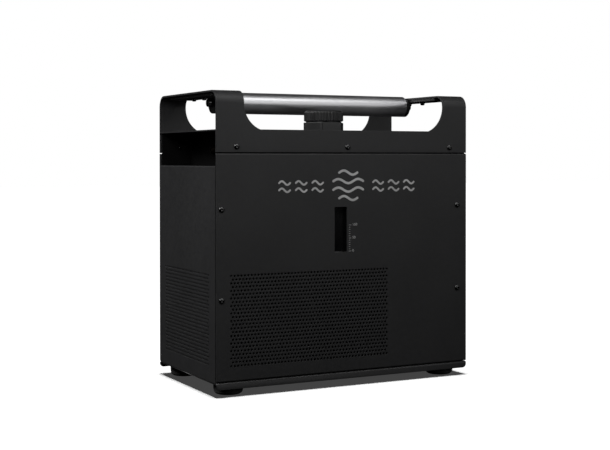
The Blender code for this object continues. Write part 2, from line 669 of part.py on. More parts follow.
def heater_block():
    """Hangs from the deck by two lugs; the front and back have upright grooves."""
    heater = finish("heater_block", box(HEATER_LEFT, -32, -26, 26, 354, 406), "cast")
    soften(heater, 3.0)
    add(heater, together(
        box(-158, -146, -12, 12, 400, BELOW_DECK),
        box(-52, -40, -12, 12, 400, BELOW_DECK),
        rod(5.0, "X", (-36, 0, HEATER_PORT_Z), 8.0)), "lugs")
    cut(heater, together(*[box(x, x + 7, y, y + 7, 350, 410)
                           for y in (-27, 20) for x in range(-150, -50, 18)]), "fins")


def fog_nozzle():
    """A stepped nozzle; the profile's heights are distances to the left of the origin."""
    root = -HEATER_LEFT + GAP
    profile = [(2.5, root), (14.0, root), (14.0, 172.0), (8.8, 174.0), (8.8, 186.0),
               (5.0, 192.0), (2.5, 192.0)]
    finish("fog_nozzle", turned(profile, "-X", (0, 0, NOZZLE_Z), 20), "brass",
           (-root, 0, NOZZLE_Z), True)


# ---------------------------------------------------------------- fan behind the left end panel
FAN_Y, FAN_Z, FAN_HALF = 3.0, 119.0, 60.0
FAN_X0 = INNER_LEFT_X
FAN_X1 = FAN_X0 + 25

# Corners per section, as the blade is built: leading back, leading front, trailing back,
# trailing front. Three sections from the hub outwards make 12 corners.
BLADE_SECTIONS = ((17.0, 23.0), (36.0, 20.0), (55.0, 18.0))     # radius, half angle in degrees
BLADE_FACES = (
    (0, 1, 3, 2), (8, 9, 11, 10),
    (0, 4, 5, 1), (4, 8, 9, 5), (2, 6, 7, 3), (6, 10, 11, 7),
    (0, 2, 6, 4), (4, 6, 10, 8), (1, 3, 7, 5), (5, 7, 11, 9),
)


def fan_frame():
    outline = rounded(*around(FAN_Y, FAN_Z, FAN_HALF, FAN_HALF), 5)
    fan = finish("fan_frame", prism(outline, "X", FAN_X0, FAN_X1), "fan")
    cut(fan, rod(57.0, "X", (FAN_X0 - 2, FAN_Y, FAN_Z), 30, 36), "bore")
    strut_x = FAN_X1 - 4
    add(fan, rod(19.0, "X", (strut_x, FAN_Y, FAN_Z), 4.0, 20), "motor_seat")
    for k in range(3):
        strut = box(strut_x, FAN_X1, FAN_Y + 15, FAN_Y + 58.5, FAN_Z - 3, FAN_Z + 3)
        bmesh.ops.rotate(strut, verts=strut.verts, cent=(FAN_X1, FAN_Y, FAN_Z),
                         matrix=Matrix.Rotation(math.radians(90 + 120 * k), 3, "X"))
        add(fan, strut, f"strut_{k + 1}")
    places = [(FAN_Y + y, FAN_Z + z) for y in (-52.5, 52.5) for z in (-52.5, 52.5)]
    cut(fan, holes("X", places, 2.1, FAN_X0 - 2, 30, 8), "corner_holes")


def fan_blade(turn):
    """A twisted blade, turned about the fan's axis by an angle in degrees."""
    blade = bmesh.new()
    corners = []
    for radius, half in BLADE_SECTIONS:
        for angle, x in ((-half, FAN_X0 + 16.5), (half, FAN_X0 + 4.5)):
            a = math.radians(turn + angle)
            y, z = FAN_Y + radius * math.cos(a), FAN_Z + radius * math.sin(a)
            corners += [blade.verts.new((x + side, y, z)) for side in (-0.9, 0.9)]
    for face in BLADE_FACES:
        blade.faces.new([corners[i] for i in face])
    return blade


def fan_rotor():
    centre = (FAN_X0 + 2, FAN_Y, FAN_Z)
    hub = [(0, 0), (17.5, 0), (20, 2.5), (20, 16.5), (0, 16.5)]
    rotor = finish("fan_rotor", turned(hub, "X", centre, 24), "fan", centre)
    blades = 7
    for k in range(blades):
        add(rotor, fan_blade(k * 360 / blades), f"blade_{k + 1}")


# ---------------------------------------------------------------- electrics
FACE_X = RIGHT_X + GAP              # back of the parts on the right end panel's outer face
ROCKER_Z = 110.0

BOARD_BLOCKS = (                    # x1, y0, y1, z0, z1
    (207, -90, -60, 200, 240), (203, -40, 10, 210, 250),
    (211, 40, 70, 200, 225), (200, -80, 60, 300, 306),
)


def power_supply():
    supply = finish("power_supply", box(-170, -20, 10, 110, BASE_TOP + GAP, 66), "steel")
    cut(supply, together(*[box(x, x + 4, 5, 115, 58, 70) for x in range(-160, -30, 12)]), "slots")


def control_board():
    board = finish("control_board", box(194.0, 195.6, -100, 90, 180, 372), "board")
    add(board, together(
        *[box(195, *block) for block in BOARD_BLOCKS],
        *[rod(8.0, "X", (195, y, 270), 16) for y in (30, 52)]), "components")


def display_panel():
    bezel = box(FACE_X, RIGHT_X + 2.3, *grown(DISPLAY_BODY, 4))
    display = finish("display_panel", bezel, "display")
    soften(display, 0.8)
    add(display, box(204, RIGHT_X + 1, *DISPLAY_BODY), "body")


def menu_buttons():
    profile = [(0, 3.0), (3.9, 3.0), (4.7, 2.2), (4.7, -2.3), (6.5, -2.3), (6.5, -5.0), (0, -5.0)]
    for number, place in enumerate(BUTTONS, 1):
        origin = (RIGHT_X, *place)
        finish(f"menu_button_{number}", turned(profile, "X", origin, 18), "knob", origin, True)


def power_inlet():
    """One housing for the mains socket, below, and the rocker switch, above."""
    bezel = rounded(*grown(INLET_BODY, 3), 3)
    inlet = finish("power_inlet", prism(bezel, "X", FACE_X, RIGHT_X + 2.5), "socket")
    add(inlet, box(196, RIGHT_X + 1, *INLET_BODY), "body")
    socket = [(-13.5, 68.5), (13.5, 68.5), (13.5, 82.5), (8.5, 88.0), (-8.5, 88.0), (-13.5, 82.5)]
    socket = [(SWITCH_Y + y, z) for y, z in socket]
    cut(inlet, together(
        prism(socket, "X", 207, RIGHT_X + 5),
        box(210, RIGHT_X + 5, *around(SWITCH_Y, ROCKER_Z, 11.0, 12.0))), "cavities")
    pins = ((-7.0, 76), (7.0, 76), (0.0, 82))       # y from the middle, z
    add(inlet, together(*[box(205, 221, *around(SWITCH_Y + y, z, 1.0, 2)) for y, z in pins]),
        "pins")


def power_switch():
    """A shallow V rocker, tilted about its cross axis to its off side, with the top edge out."""
    pivot_x, tilt = 221.0, 8.0
    half_y, half_z = 10.4, 9.0
    tip_x, valley_x = RIGHT_X + 2.8, RIGHT_X + 1.2
    outline = [
        (215.5, -half_z + 1.5), (219.5, -half_z), (tip_x, -half_z), (valley_x, 0.0),
        (tip_x, half_z), (219.5, half_z), (215.5, half_z - 1.5),
    ]
    rocker = prism(outline, "Y", -half_y, half_y)
    bmesh.ops.rotate(rocker, verts=rocker.verts, cent=(pivot_x, 0, 0),
                     matrix=Matrix.Rotation(math.radians(tilt), 3, "Y"))
    bmesh.ops.translate(rocker, verts=rocker.verts, vec=(0, SWITCH_Y, ROCKER_Z))
    finish("power_switch", rocker, "knob", (pivot_x, SWITCH_Y, ROCKER_Z))


def data_socket(name, y):
    """A flanged round socket. Returns it with the places of its five contacts."""
    flange = rounded(*around(y, SOCKET_Z, 13, 15.5), 4)
    socket = finish(name, prism(flange, "X", FACE_X, RIGHT_X + 2.3), "socket")
    add(socket, rod(11.9, "X", (203, y, SOCKET_Z), RIGHT_X - 203 + 1, 20), "barrel")
    return socket, arc(y, SOCKET_Z, 5.0, -90, 198, 4)


def data_sockets():
    """The one in has pins in an open mouth; the one out has a ring gap round pin holes."""
    in_y, out_y = SOCKET_Y
    socket, contacts = data_socket("data_socket_in", in_y)
    cut(socket, rod(9.5, "X", (208, in_y, SOCKET_Z), 25, 20), "mouth")
    add(socket, holes("X", contacts, 1.1, 206.5, 13, 6), "pins")

    socket, contacts = data_socket("data_socket_out", out_y)
    ring = [(8.0, 0), (10.0, 0), (10.0, 20), (8.0, 20)]
    cut(socket, turned(ring, "X", (219, out_y, SOCKET_Z), 20), "ring_gap")
    cut(socket, holes("X", contacts, 1.3, 216, 20, 6), "pin_holes")


# ---------------------------------------------------------------- assembly
for build in (
    front_panel, rear_panel, left_end_panel, right_end_panel, base_plate,
    handle_frame, top_deck, outlet_duct,
    case_screws, strap_screws, feet, handle,
    filler_neck, filler_cap, cap_seal,
    fluid_tank, sight_window, pump_body, pump_plunger, pump_spring, hoses,
    heater_block, fog_nozzle, fan_frame, fan_rotor,
    power_supply, control_board, display_panel, menu_buttons,
    power_inlet, power_switch, data_sockets,
):
    build()
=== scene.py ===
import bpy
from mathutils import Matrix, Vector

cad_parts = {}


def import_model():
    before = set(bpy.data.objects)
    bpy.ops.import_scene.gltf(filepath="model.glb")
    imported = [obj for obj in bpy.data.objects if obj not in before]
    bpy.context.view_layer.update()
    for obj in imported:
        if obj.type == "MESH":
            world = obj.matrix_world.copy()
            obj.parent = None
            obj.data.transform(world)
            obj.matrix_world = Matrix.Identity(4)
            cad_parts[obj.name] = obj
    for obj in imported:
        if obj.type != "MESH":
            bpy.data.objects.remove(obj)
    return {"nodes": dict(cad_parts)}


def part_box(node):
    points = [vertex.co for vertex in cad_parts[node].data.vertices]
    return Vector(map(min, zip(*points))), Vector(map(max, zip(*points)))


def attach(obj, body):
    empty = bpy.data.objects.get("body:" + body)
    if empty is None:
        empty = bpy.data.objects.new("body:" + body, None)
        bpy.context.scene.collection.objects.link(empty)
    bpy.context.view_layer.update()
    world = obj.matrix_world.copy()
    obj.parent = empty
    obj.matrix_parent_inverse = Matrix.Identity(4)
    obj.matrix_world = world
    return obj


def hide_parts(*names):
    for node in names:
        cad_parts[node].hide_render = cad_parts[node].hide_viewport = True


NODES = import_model()["nodes"]

import math

import bmesh
import bpy
from mathutils import Matrix, Vector, geometry

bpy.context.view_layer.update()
MM = 0.001


# ============================================================ materials
MIX_A, MIX_B, MIX_RESULT = 6, 7, 2     # the colour sockets of a Mix node


class Look:
    """A material being built. Its patterns are laid out in object space."""

    def __init__(self, name):
        self.mat = bpy.data.materials.new(name)
        self.mat.use_nodes = True
        self.tree = self.mat.node_tree
        self.bsdf = self.tree.nodes["Principled BSDF"]
        self.coord = self.tree.nodes.new("ShaderNodeTexCoord").outputs["Object"]

    def node(self, kind, **values):
        """A new node, its sockets and settings given by name."""
        node = self.tree.nodes.new(kind)
        for key, value in values.items():
            if key in node.inputs:
                node.inputs[key].default_value = value
            else:
                setattr(node, key, value)
        return node

    def link(self, source, target):
        self.tree.links.new(source, target)

    def value(self, socket, amount):
        self.bsdf.inputs[socket].default_value = amount

    def noise(self, scale, detail=2.0, rough=0.5, stretch=None):
        """Noise; stretch is a further scale along each axis."""
        node = self.node("ShaderNodeTexNoise", Scale=scale, Detail=detail, Roughness=rough)
        coord = self.coord
        if stretch:
            mapping = self.node("ShaderNodeMapping")
            mapping.inputs["Scale"].default_value = stretch
            self.link(coord, mapping.inputs["Vector"])
            coord = mapping.outputs["Vector"]
        self.link(coord, node.inputs["Vector"])
        return node.outputs["Fac"]

    def ramp(self, source, low, high, to_low=0.0, to_high=1.0):
        """The source's range low to high, mapped to to_low to to_high."""
        node = self.node("ShaderNodeMapRange")
        for key, value in (("From Min", low), ("From Max", high),
                           ("To Min", to_low), ("To Max", to_high)):
            node.inputs[key].default_value = value
        self.link(source, node.inputs["Value"])
        return node.outputs["Result"]

    def mix(self, factor, first, second):
        node = self.node("ShaderNodeMix", data_type="RGBA")
        node.inputs[MIX_A].default_value = (*first, 1)
        node.inputs[MIX_B].default_value = (*second, 1)
        self.link(factor, node.inputs["Factor"])
        return node.outputs[MIX_RESULT]

    def blend(self, first, second, share):
        """Two patterns added, share of the first and the rest of the second."""
        part = self.node("ShaderNodeMath", operation="MULTIPLY")
        part.inputs[1].default_value = share
        self.link(first, part.inputs[0])
        total = self.node("ShaderNodeMath", operation="MULTIPLY_ADD")
        total.inputs[1].default_value = 1.0 - share
        self.link(second, total.inputs[0])
        self.link(part.outputs[0], total.inputs[2])
        return total.outputs[0]

    def tint(self, pattern, base, low, high, dark, light):
        """Drifts the colour from base * dark to base * light as the pattern goes low to high."""
        shades = [tuple(channel * gain for channel in base) for gain in (dark, light)]
        self.link(self.mix(self.ramp(pattern, low, high), *shades), self.bsdf.inputs["Base Color"])

    def roughen(self, pattern, smoothest, roughest):
        self.link(self.ramp(pattern, 0.3, 0.7, smoothest, roughest), self.bsdf.inputs["Roughness"])

    def bump(self, height, distance, strength):
        node = self.node("ShaderNodeBump", Strength=strength, Distance=distance)
        self.link(height, node.inputs["Height"])
        self.link(node.outputs["Normal"], self.bsdf.inputs["Normal"])


def powder(name, base, rough, grain=1500.0, depth=0.00012, specular=0.42):
    """Fine-texture powder coat: a pebbled skin with a slow drift of tone."""
    look = Look(name)
    pebble = look.noise(scale=grain, detail=3.0, rough=0.6)
    broad = look.noise(scale=9.0, detail=3.0, rough=0.55)
    mottle = look.noise(scale=160.0)
    tone = look.blend(look.blend(broad, mottle, share=0.6), pebble, share=0.7)
    look.tint(tone, base, low=0.36, high=0.64, dark=0.84, light=1.18)
    look.roughen(look.blend(pebble, mottle, share=0.5), rough - 0.06, rough + 0.07)
    look.bump(look.blend(pebble, mottle, share=0.85), distance=depth, strength=0.55)
    look.value("Specular IOR Level", specular)
    return look.mat


def plastic(name, base, rough, grain=900.0, depth=0.00006, specular=0.45):
    """Moulded plastic: a fine grain over faint broad patches."""
    look = Look(name)
    fine = look.noise(scale=grain)
    broad = look.noise(scale=26.0, detail=3.0)
    look.tint(broad, base, low=0.35, high=0.65, dark=0.88, light=1.12)
    look.roughen(look.blend(fine, broad, share=0.5), max(rough - 0.07, 0.02), rough + 0.08)
    look.bump(fine, distance=depth, strength=0.6)
    look.value("Specular IOR Level", specular)
    return look.mat


def rubber(name, base, rough):
    """Dull rubber with blotches of tone."""
    look = Look(name)
    fine = look.noise(scale=700.0, detail=3.0, rough=0.6)
    blotch = look.noise(scale=40.0, detail=4.0, rough=0.6)
    look.tint(blotch, base, low=0.3, high=0.7, dark=0.8, light=1.3)
    look.roughen(fine, rough - 0.08, rough + 0.08)
    look.bump(fine, distance=0.0001, strength=0.7)
    look.value("Specular IOR Level", 0.3)
    return look.mat


def metal(name, base, rough, stretch, depth):
    """Metal with drawn or turned lines; stretch is the noise's scale along each axis."""
    look = Look(name)
    lines = look.noise(scale=1.0, detail=4.0, rough=0.65, stretch=stretch)
    haze = look.noise(scale=14.0, detail=3.0)
    look.tint(look.blend(lines, haze, share=0.6), base, low=0.35, high=0.65, dark=0.93, light=1.05)
    look.roughen(look.blend(lines, haze, share=0.65), rough - 0.05, rough + 0.06)
    look.bump(lines, distance=depth, strength=0.5)
    look.value("Metallic", 1.0)
    return look.mat


LOOKS = {
    "coat": powder("powder_coat_black", base=(0.0215, 0.0215, 0.0222), rough=0.47),
    # The deck's own coat; its flanges below the seam also carry painted shade.
    "deck": powder("powder_coat_deck_and_seam_shade", base=(0.019, 0.019, 0.0196), rough=0.50),
    # Near black, far darker than the coat: painted shade for the recess round the outlet duct and for
    # the slots at the left end's angles and sill.
    "duct": powder("matt_black_recess_shade", base=(0.0045, 0.0045, 0.0045), rough=0.8,
                   grain=900.0, depth=0.0001, specular=0.06),
    "tube": metal("satin_anodised_tube", base=(0.70, 0.70, 0.715), rough=0.37,
                  stretch=(6.0, 2600.0, 2600.0), depth=0.000012),
    "fitting": powder("matt_black_fitting", base=(0.012, 0.012, 0.012), rough=0.42,
                      grain=1300.0, depth=0.00008),
    "screw": plastic("black_oxide_steel", base=(0.0025, 0.0025, 0.0027), rough=0.09,
                     grain=1400.0, depth=0.00002, specular=1.0),
    "foot": rubber("moulded_rubber_black", base=(0.044, 0.044, 0.044), rough=0.70),
    "seal": rubber("seal_rubber_black", base=(0.012, 0.012, 0.012), rough=0.65),
    "cap": plastic("moulded_black_cap", base=(0.0125, 0.0125, 0.0128), rough=0.36,
                   grain=1100.0, depth=0.00005, specular=0.5),
    "tank": plastic("natural_tank_plastic", base=(0.60, 0.61, 0.58), rough=0.42,
                    grain=300.0, depth=0.0001),
    "pane": plastic("dark_tinted_pane", base=(0.0045, 0.0045, 0.0048), rough=0.16,
                    grain=50.0, depth=0.00001, specular=0.5),
    "coil": plastic("pump_moulding", base=(0.015, 0.015, 0.017), rough=0.5,
                    grain=800.0, specular=0.3),
    "steel": metal("ground_steel", base=(0.58, 0.58, 0.59), rough=0.28,
                   stretch=(60.0, 60.0, 2400.0), depth=0.00001),
    "hose": rubber("silicone_hose_grey", base=(0.27, 0.28, 0.29), rough=0.42),
    "cast": metal("cast_aluminium", base=(0.46, 0.46, 0.47), rough=0.5,
                  stretch=(420.0, 420.0, 420.0), depth=0.0001),
    # The nozzle's brass is coloured near black: the shade deep in the recess, painted onto it.
    "brass": metal("brass_with_painted_recess_shade", base=(0.010, 0.008, 0.006), rough=0.6,
                   stretch=(2400.0, 60.0, 60.0), depth=0.00001),
    "fan": plastic("fan_moulding_black", base=(0.016, 0.016, 0.017), rough=0.45, depth=0.00005),
    "supply": powder("black_coated_cage", base=(0.010, 0.010, 0.010), rough=0.7,
                     grain=900.0, depth=0.0001, specular=0.2),
    "board": plastic("solder_mask_green", base=(0.012, 0.10, 0.045), rough=0.35,
                     grain=1200.0, depth=0.00003),
    "display": plastic("display_gloss_black", base=(0.006, 0.007, 0.009), rough=0.12,
                       grain=60.0, depth=0.00001, specular=0.5),
    "knob": plastic("button_moulding_grey", base=(0.055, 0.055, 0.06), rough=0.42,
                    grain=1000.0, depth=0.00005),
    "socket": plastic("socket_moulding_black", base=(0.018, 0.018, 0.019), rough=0.4,
                      grain=1000.0, depth=0.00005),
    # A spare finish, worn by no piece yet.
    "nickel": metal("nickel_plate", base=(0.55, 0.54, 0.52), rough=0.24,
                    stretch=(900.0, 900.0, 900.0), depth=0.000008),
    "print": plastic("screen_print_grey", base=(0.50, 0.50, 0.50), rough=0.55,
                     grain=2200.0, depth=0.00002, specular=0.3),
}


def shade_flanges_behind_seam(mat):
    """Below the seam under the skirt the deck's flanges are painted near black with no sheen: painted
    shade in the gap behind the seam.
    """
    seam_z, seam_shade_colour, coat_specular = 0.3852, (0.002, 0.002, 0.002, 1.0), 0.42
    nodes, links = mat.node_tree.nodes, mat.node_tree.links
    bsdf = nodes["Principled BSDF"]
    coat_colour = bsdf.inputs["Base Color"].links[0].from_socket
    where = nodes.new("ShaderNodeNewGeometry")
    split = nodes.new("ShaderNodeSeparateXYZ")
    above = nodes.new("ShaderNodeMath")
    above.operation = "GREATER_THAN"
    above.inputs[1].default_value = seam_z
    tone = nodes.new("ShaderNodeMix")
    tone.data_type = "RGBA"
    # painted shade: the near-black colour of the flanges below the seam
    tone.inputs[MIX_A].default_value = seam_shade_colour
    sheen = nodes.new("ShaderNodeMath")
    sheen.operation = "MULTIPLY"
    sheen.inputs[1].default_value = coat_specular
    links.new(where.outputs["Position"], split.inputs[0])
    links.new(split.outputs["Z"], above.inputs[0])
    links.new(above.outputs[0], tone.inputs[0])
    links.new(coat_colour, tone.inputs[MIX_B])
    links.new(tone.outputs[MIX_RESULT], bsdf.inputs["Base Color"])
    links.new(above.outputs[0], sheen.inputs[0])
    links.new(sheen.outputs[0], bsdf.inputs["Specular IOR Level"])


# paints the shade of the gap behind the skirt's seam onto the deck's flanges
shade_flanges_behind_seam(LOOKS["deck"])


# ============================================================ finished objects
def to_mesh(name, shape, look):
    """A mesh in metres from a bmesh in millimetres."""
    bmesh.ops.scale(shape, verts=shape.verts, vec=(MM, MM, MM))
    bmesh.ops.recalc_face_normals(shape, faces=shape.faces)
    mesh = bpy.data.meshes.new(name)
    shape.to_mesh(mesh)
    shape.free()
    mesh.materials.append(LOOKS[look])
    return mesh


def placed(name, mesh, at, slot=None, body="root", replaces=(), smooth=35.0):
    """An object from a mesh; edges sharper than smooth degrees stay sharp, 0 leaves it flat."""
    obj = bpy.data.objects.new(name, mesh)
    bpy.context.scene.collection.objects.link(obj)
    obj.matrix_world = at
    if smooth:
        mesh.shade_smooth()
        mesh.set_sharp_from_angle(angle=math.radians(smooth))
        obj.modifiers.new("normals", "WEIGHTED_NORMAL").keep_sharp = True
    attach(obj, body)
    if replaces:
        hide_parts(*replaces)


def piece(name, shape, look, slot=None, origin=(0, 0, 0), **options):
    """A finished piece from a bmesh in millimetres, with its origin at the given point."""
    origin = Vector(origin)
    bmesh.ops.translate(shape, verts=shape.verts, vec=-origin)
    placed(name, to_mesh(name, shape, look), Matrix.Translation(origin * MM), slot, **options)


# ============================================================ outlines, as lists of (x, y)
def arc(centre_x, centre_y, radius, first, last, steps):
    """Points from angle first to angle last, in degrees."""
    angles = [math.radians(first + (last - first) * i / steps) for i in range(steps + 1)]
    return [(centre_x + radius * math.cos(a), centre_y + radius * math.sin(a)) for a in angles]


def rectangle(x0, x1, y0, y1):
    return [(x0, y0), (x1, y0), (x1, y1), (x0, y1)]


def rounded(x0, x1, y0, y1, radius, steps):
    """A rectangle with rounded corners."""
    left, right, low, high = x0 + radius, x1 - radius, y0 + radius, y1 - radius
    return (arc(right, low, radius, -90, 0, steps) + arc(right, high, radius, 0, 90, steps)
            + arc(left, high, radius, 90, 180, steps) + arc(left, low, radius, 180, 270, steps))


def circle(x, y, radius, steps=24, turn=0.0):
    """Points on a circle, started turn steps round."""
    angles = [2 * math.pi * (i + turn) / steps for i in range(steps)]
    return [(x + radius * math.cos(a), y + radius * math.sin(a)) for a in angles]


def ccw(loop):
    """The loop, counter-clockwise."""
    area = sum(a[0] * b[1] - b[0] * a[1] for a, b in zip(loop, loop[1:] + loop[:1]))
    return list(loop) if area > 0 else list(loop)[::-1]


def grown(loop, distance):
    """A counter-clockwise outline moved outwards by distance."""
    if not distance:
        return list(loop)
    out = []
    for i, point in enumerate(loop):
        before, point, after = Vector(loop[i - 1]), Vector(point), Vector(loop[(i + 1) % len(loop)])
        arriving, leaving = (point - before).normalized(), (after - point).normalized()
        normal = Vector((arriving.y + leaving.y, -arriving.x - leaving.x))
        moved = point + normal * (distance / max(1.0 + arriving.dot(leaving), 0.3))
        out.append((moved.x, moved.y))
    return out


def softened(points, steps=3):
    """A closed profile of (radius, height, corner radius), with its corners rounded."""
    out = []
    for i, (radius, height, corner) in enumerate(points):
        if not corner:
            out.append((radius, height))
            continue
        here = Vector((radius, height))
        before, after = Vector(points[i - 1][:2]), Vector(points[(i + 1) % len(points)][:2])
        start = here + (before - here).normalized() * corner
        end = here + (after - here).normalized() * corner
        for k in range(steps + 1):
            t = k / steps
            out.append(tuple(start * (1 - t) ** 2 + here * 2 * t * (1 - t) + end * t * t))
    return out


# ============================================================ solids, as bmeshes
def bridge(shape, chain, closed=False):
    """Quads between rings of equal count, taken in order."""
    pairs = list(zip(chain, chain[1:])) + ([(chain[-1], chain[0])] if closed else [])
    for low, high in pairs:
        count = len(low)
        for i in range(count):
            j = (i + 1) % count
            shape.faces.new((low[i], low[j], high[j], high[i]))


def rounding(low, high, ease, steps, first=0):
    """Yields (inset, depth) over the rounded edge at depth low, then over the one at high."""
    for depth, side, order in ((low, 1, range(first, steps + 1)),
                               (high, -1, range(steps, first - 1, -1))):
        for step in order:
            turn = math.pi / 2 * step / steps
            yield ease * (1 - math.sin(turn)), depth + side * ease * (1 - math.cos(turn))


def point_key(point):
    return round(point[0], 3), round(point[1], 3)


def sheet(outline, holes, place, thick, across=(), ease=0.4, shape=None):
    """A closed sheet with eased cut edges.

    place(x, y, depth) sets a point of the flat pattern in space, depth below the outer face.
    The hole outlines are convex, or span the folds. across holds pairs of outline or hole
    points, joined by an edge on both faces."""
    shape = shape or bmesh.new()
    drawn = [ccw(outline)] + [ccw(hole) for hole in holes]
    signs = [-1.0] + [1.0] * len(holes)
    points, edges, loop_of, starts, number = [], [], [], [], {}
    for k, (loop, sign) in enumerate(zip(drawn, signs)):
        start, count = len(points), len(loop)
        starts.append(start)
        points += [Vector(point) for point in grown(loop, sign * ease)]
        loop_of += [k] * count
        edges += [(start + i, start + (i + 1) % count) for i in range(count)]
        number.update({point_key(point): start + i for i, point in enumerate(loop)})
    edges += [(number[point_key(a)], number[point_key(b)]) for a, b in across]
    flat, _, faces, origin, _, _ = geometry.delaunay_2d_cdt(points, edges, [], 1, 1e-7, True)
    where, group = {}, {}
    for i, sources in enumerate(origin):
        for source in sources:
            where[source] = i
            group[i] = loop_of[source]
    outer = [shape.verts.new(place(p.x, p.y, 0.0)) for p in flat]
    inner = [shape.verts.new(place(p.x, p.y, thick)) for p in flat]
    for a, b, c in faces:
        if group[a] == group[b] == group[c] and group[a] > 0:
            continue                                  # inside a hole
        shape.faces.new((outer[a], outer[b], outer[c]))
        shape.faces.new((inner[c], inner[b], inner[a]))
    # The cut edges: those of the holes, then that of the outline.
    for k in [*range(1, len(drawn)), 0]:
        ends = [where[starts[k] + i] for i in range(len(drawn[k]))]
        chain = [[outer[i] for i in ends]]
        for inset, depth in rounding(0.0, thick, ease, steps=2, first=1):
            ring = grown(drawn[k], signs[k] * inset)
            chain.append([shape.verts.new(place(x, y, depth)) for x, y in ring])
        chain.append([inner[i] for i in ends])
        bridge(shape, chain)
    return shape


def loft(rings, shape=None):
    """Rings of equal count joined in order, with flat ends."""
    shape = shape or bmesh.new()
    made = [[shape.verts.new(point) for point in ring] for ring in rings]
    bridge(shape, made)
    shape.faces.new(made[0][::-1])
    shape.faces.new(made[-1])
    return shape


def block(outline, place, low, high, ease, shape=None):
    """A thick plate with eased edges, between depths low and high."""
    outline = ccw(outline)
    return loft([[place(x, y, depth) for x, y in grown(outline, -inset)]
                 for inset, depth in rounding(low, high, ease, steps=3)], shape)


# Turns that point +Z along the named axis.
TURN = {
    "Z": Matrix.Identity(4), "-Z": Matrix.Rotation(math.pi, 4, "X"),
    "X": Matrix.Rotation(math.pi / 2, 4, "Y"), "-X": Matrix.Rotation(-math.pi / 2, 4, "Y"),
    "Y": Matrix.Rotation(-math.pi / 2, 4, "X"), "-Y": Matrix.Rotation(math.pi / 2, 4, "X"),
}


def turned(profile, axis, centre, steps, shape=None):
    """A profile of (radius, height) turned about an axis; closed if it doesn't touch the axis."""
    shape = shape or bmesh.new()
    rings = []
    for radius, height in profile:
        ring = circle(0, 0, radius, steps) if radius else [(0, 0)]
        rings.append([shape.verts.new((x, y, height)) for x, y in ring])
    pairs = list(zip(rings, rings[1:]))
    if profile[0][0] and profile[-1][0]:
        pairs.append((rings[-1], rings[0]))
    for low, high in pairs:
        for k in range(steps):
            j = (k + 1) % steps
            if len(low) == 1:
                shape.faces.new((low[0], high[k], high[j]))
            elif len(high) == 1:
                shape.faces.new((low[k], high[0], low[j]))
            else:
                shape.faces.new((low[k], high[k], high[j], low[j]))
    bmesh.ops.transform(shape, matrix=Matrix.Translation(Vector(centre)) @ TURN[axis],
                        verts=[vert for ring in rings for vert in ring])
    return shape


class Fold:
    """The outer line of a folded sheet, as lines and arcs in one plane.

    The outside lies to the left of the line's direction; the arcs turn clockwise.
    marks are the lengths along the line at which its arcs are divided."""

    def __init__(self, start, *moves, steps=6):
        self.parts, self.marks, self.length = [], [], 0.0
        here = Vector(start)
        for kind, *values in moves:
            begin = self.length
            if kind == "line":
                end = Vector(values[0])
                self.length += (end - here).length
                self.parts.append((begin, self.length, here, (end - here).normalized(), None))
                here = end
            else:
                centre, radius = Vector(values[0]), values[1]
                first, last = math.radians(values[2]), math.radians(values[3])
                span = radius * abs(last - first)
                self.length += span
                self.parts.append((begin, self.length, centre, radius, (first, last)))
                self.marks += [begin + span * i / steps for i in range(steps + 1)]
                here = centre + Vector((math.cos(last), math.sin(last))) * radius

    def at(self, along, depth):
        """The point at a length along the line, depth below the surface."""
        for begin, end, point, reach, angles in self.parts:
            if along <= end + 1e-6 or end == self.length:
                if angles is None:
                    return point + reach * (along - begin) - Vector((-reach.y, reach.x)) * depth
                first, last = angles
                angle = first + (last - first) * (along - begin) / (end - begin)
                return point + Vector((math.cos(angle), math.sin(angle))) * (reach - depth)

    def place(self, x, along, depth):
        """For a line in the YZ plane: the point in space."""
        return (x, *self.at(along, depth))

    def outline(self, low, high):
        """The flat pattern of a sheet reaching from low to high across the line."""
        return ([(low, 0.0), (high, 0.0)] + [(high, mark) for mark in self.marks]
                + [(high, self.length), (low, self.length)]
                + [(low, mark) for mark in self.marks[::-1]])

    def creases(self, low, high):
        return [((low, mark), (high, mark)) for mark in self.marks]


def arch(front, rear, foot, top, bend, steps):
    """A fold up the front, over the top and down the rear."""
    return Fold((front, foot), ("line", (front, top - bend)),
                ("arc", (front + bend, top - bend), bend, 180, 90), ("line", (rear - bend, top)),
                ("arc", (rear - bend, top - bend), bend, 90, 0), ("line", (rear, foot)),
                steps=steps)


# ============================================================ where things are, from the CAD
def box_mm(node):
    low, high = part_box(node)
    return low / MM, high / MM


def middle(node):
    low, high = box_mm(node)
    return (low + high) / 2


def spots(prefix, count, second="z"):
    """The middles of nodes prefix_1 to prefix_count, as (x, second axis)."""
    middles = [middle(f"{prefix}_{i}") for i in range(1, count + 1)]
    return [(point.x, getattr(point, second)) for point in middles]


FRONT_LOW, FRONT_HIGH = box_mm("front_panel")
END_LOW, END_HIGH = box_mm("left_end_panel")
REAR_LOW, REAR_HIGH = box_mm("rear_panel")
FRAME_LOW, FRAME_HIGH = box_mm("handle_frame")
BASE_LOW, BASE_HIGH = box_mm("base_plate")
WINDOW_LOW, WINDOW_HIGH = box_mm("sight_window")
TUBE_LOW, TUBE_HIGH = box_mm("handle_tube")
NECK_X, NECK_Y, _ = middle("filler_cap")
FRONT_SCREWS = spots("front_screw", 4)
REAR_SCREWS = spots("rear_screw", 4)
SKIRT_SCREWS = spots("skirt_screw_front", 3)
STRAP_SCREWS = spots("strap_screw", 4, second="y")

SCREW_HOLE = 2.7                       # hole radius
VENT_PITCH, VENT_RADIUS, VENT_ROWS = 5.92, 1.84, 25
VENTS_Z = FRONT_LOW.z + 24.2           # height of the lowest row

END_FRONT, END_REAR = FRONT_LOW.y + 4.9, END_HIGH.y        # the left end panel's cut edges
END_BEND = 2.4                         # bend radius along its top
END_TOP = END_HIGH.z - END_BEND - 0.05                     # where the sheet meets that bend


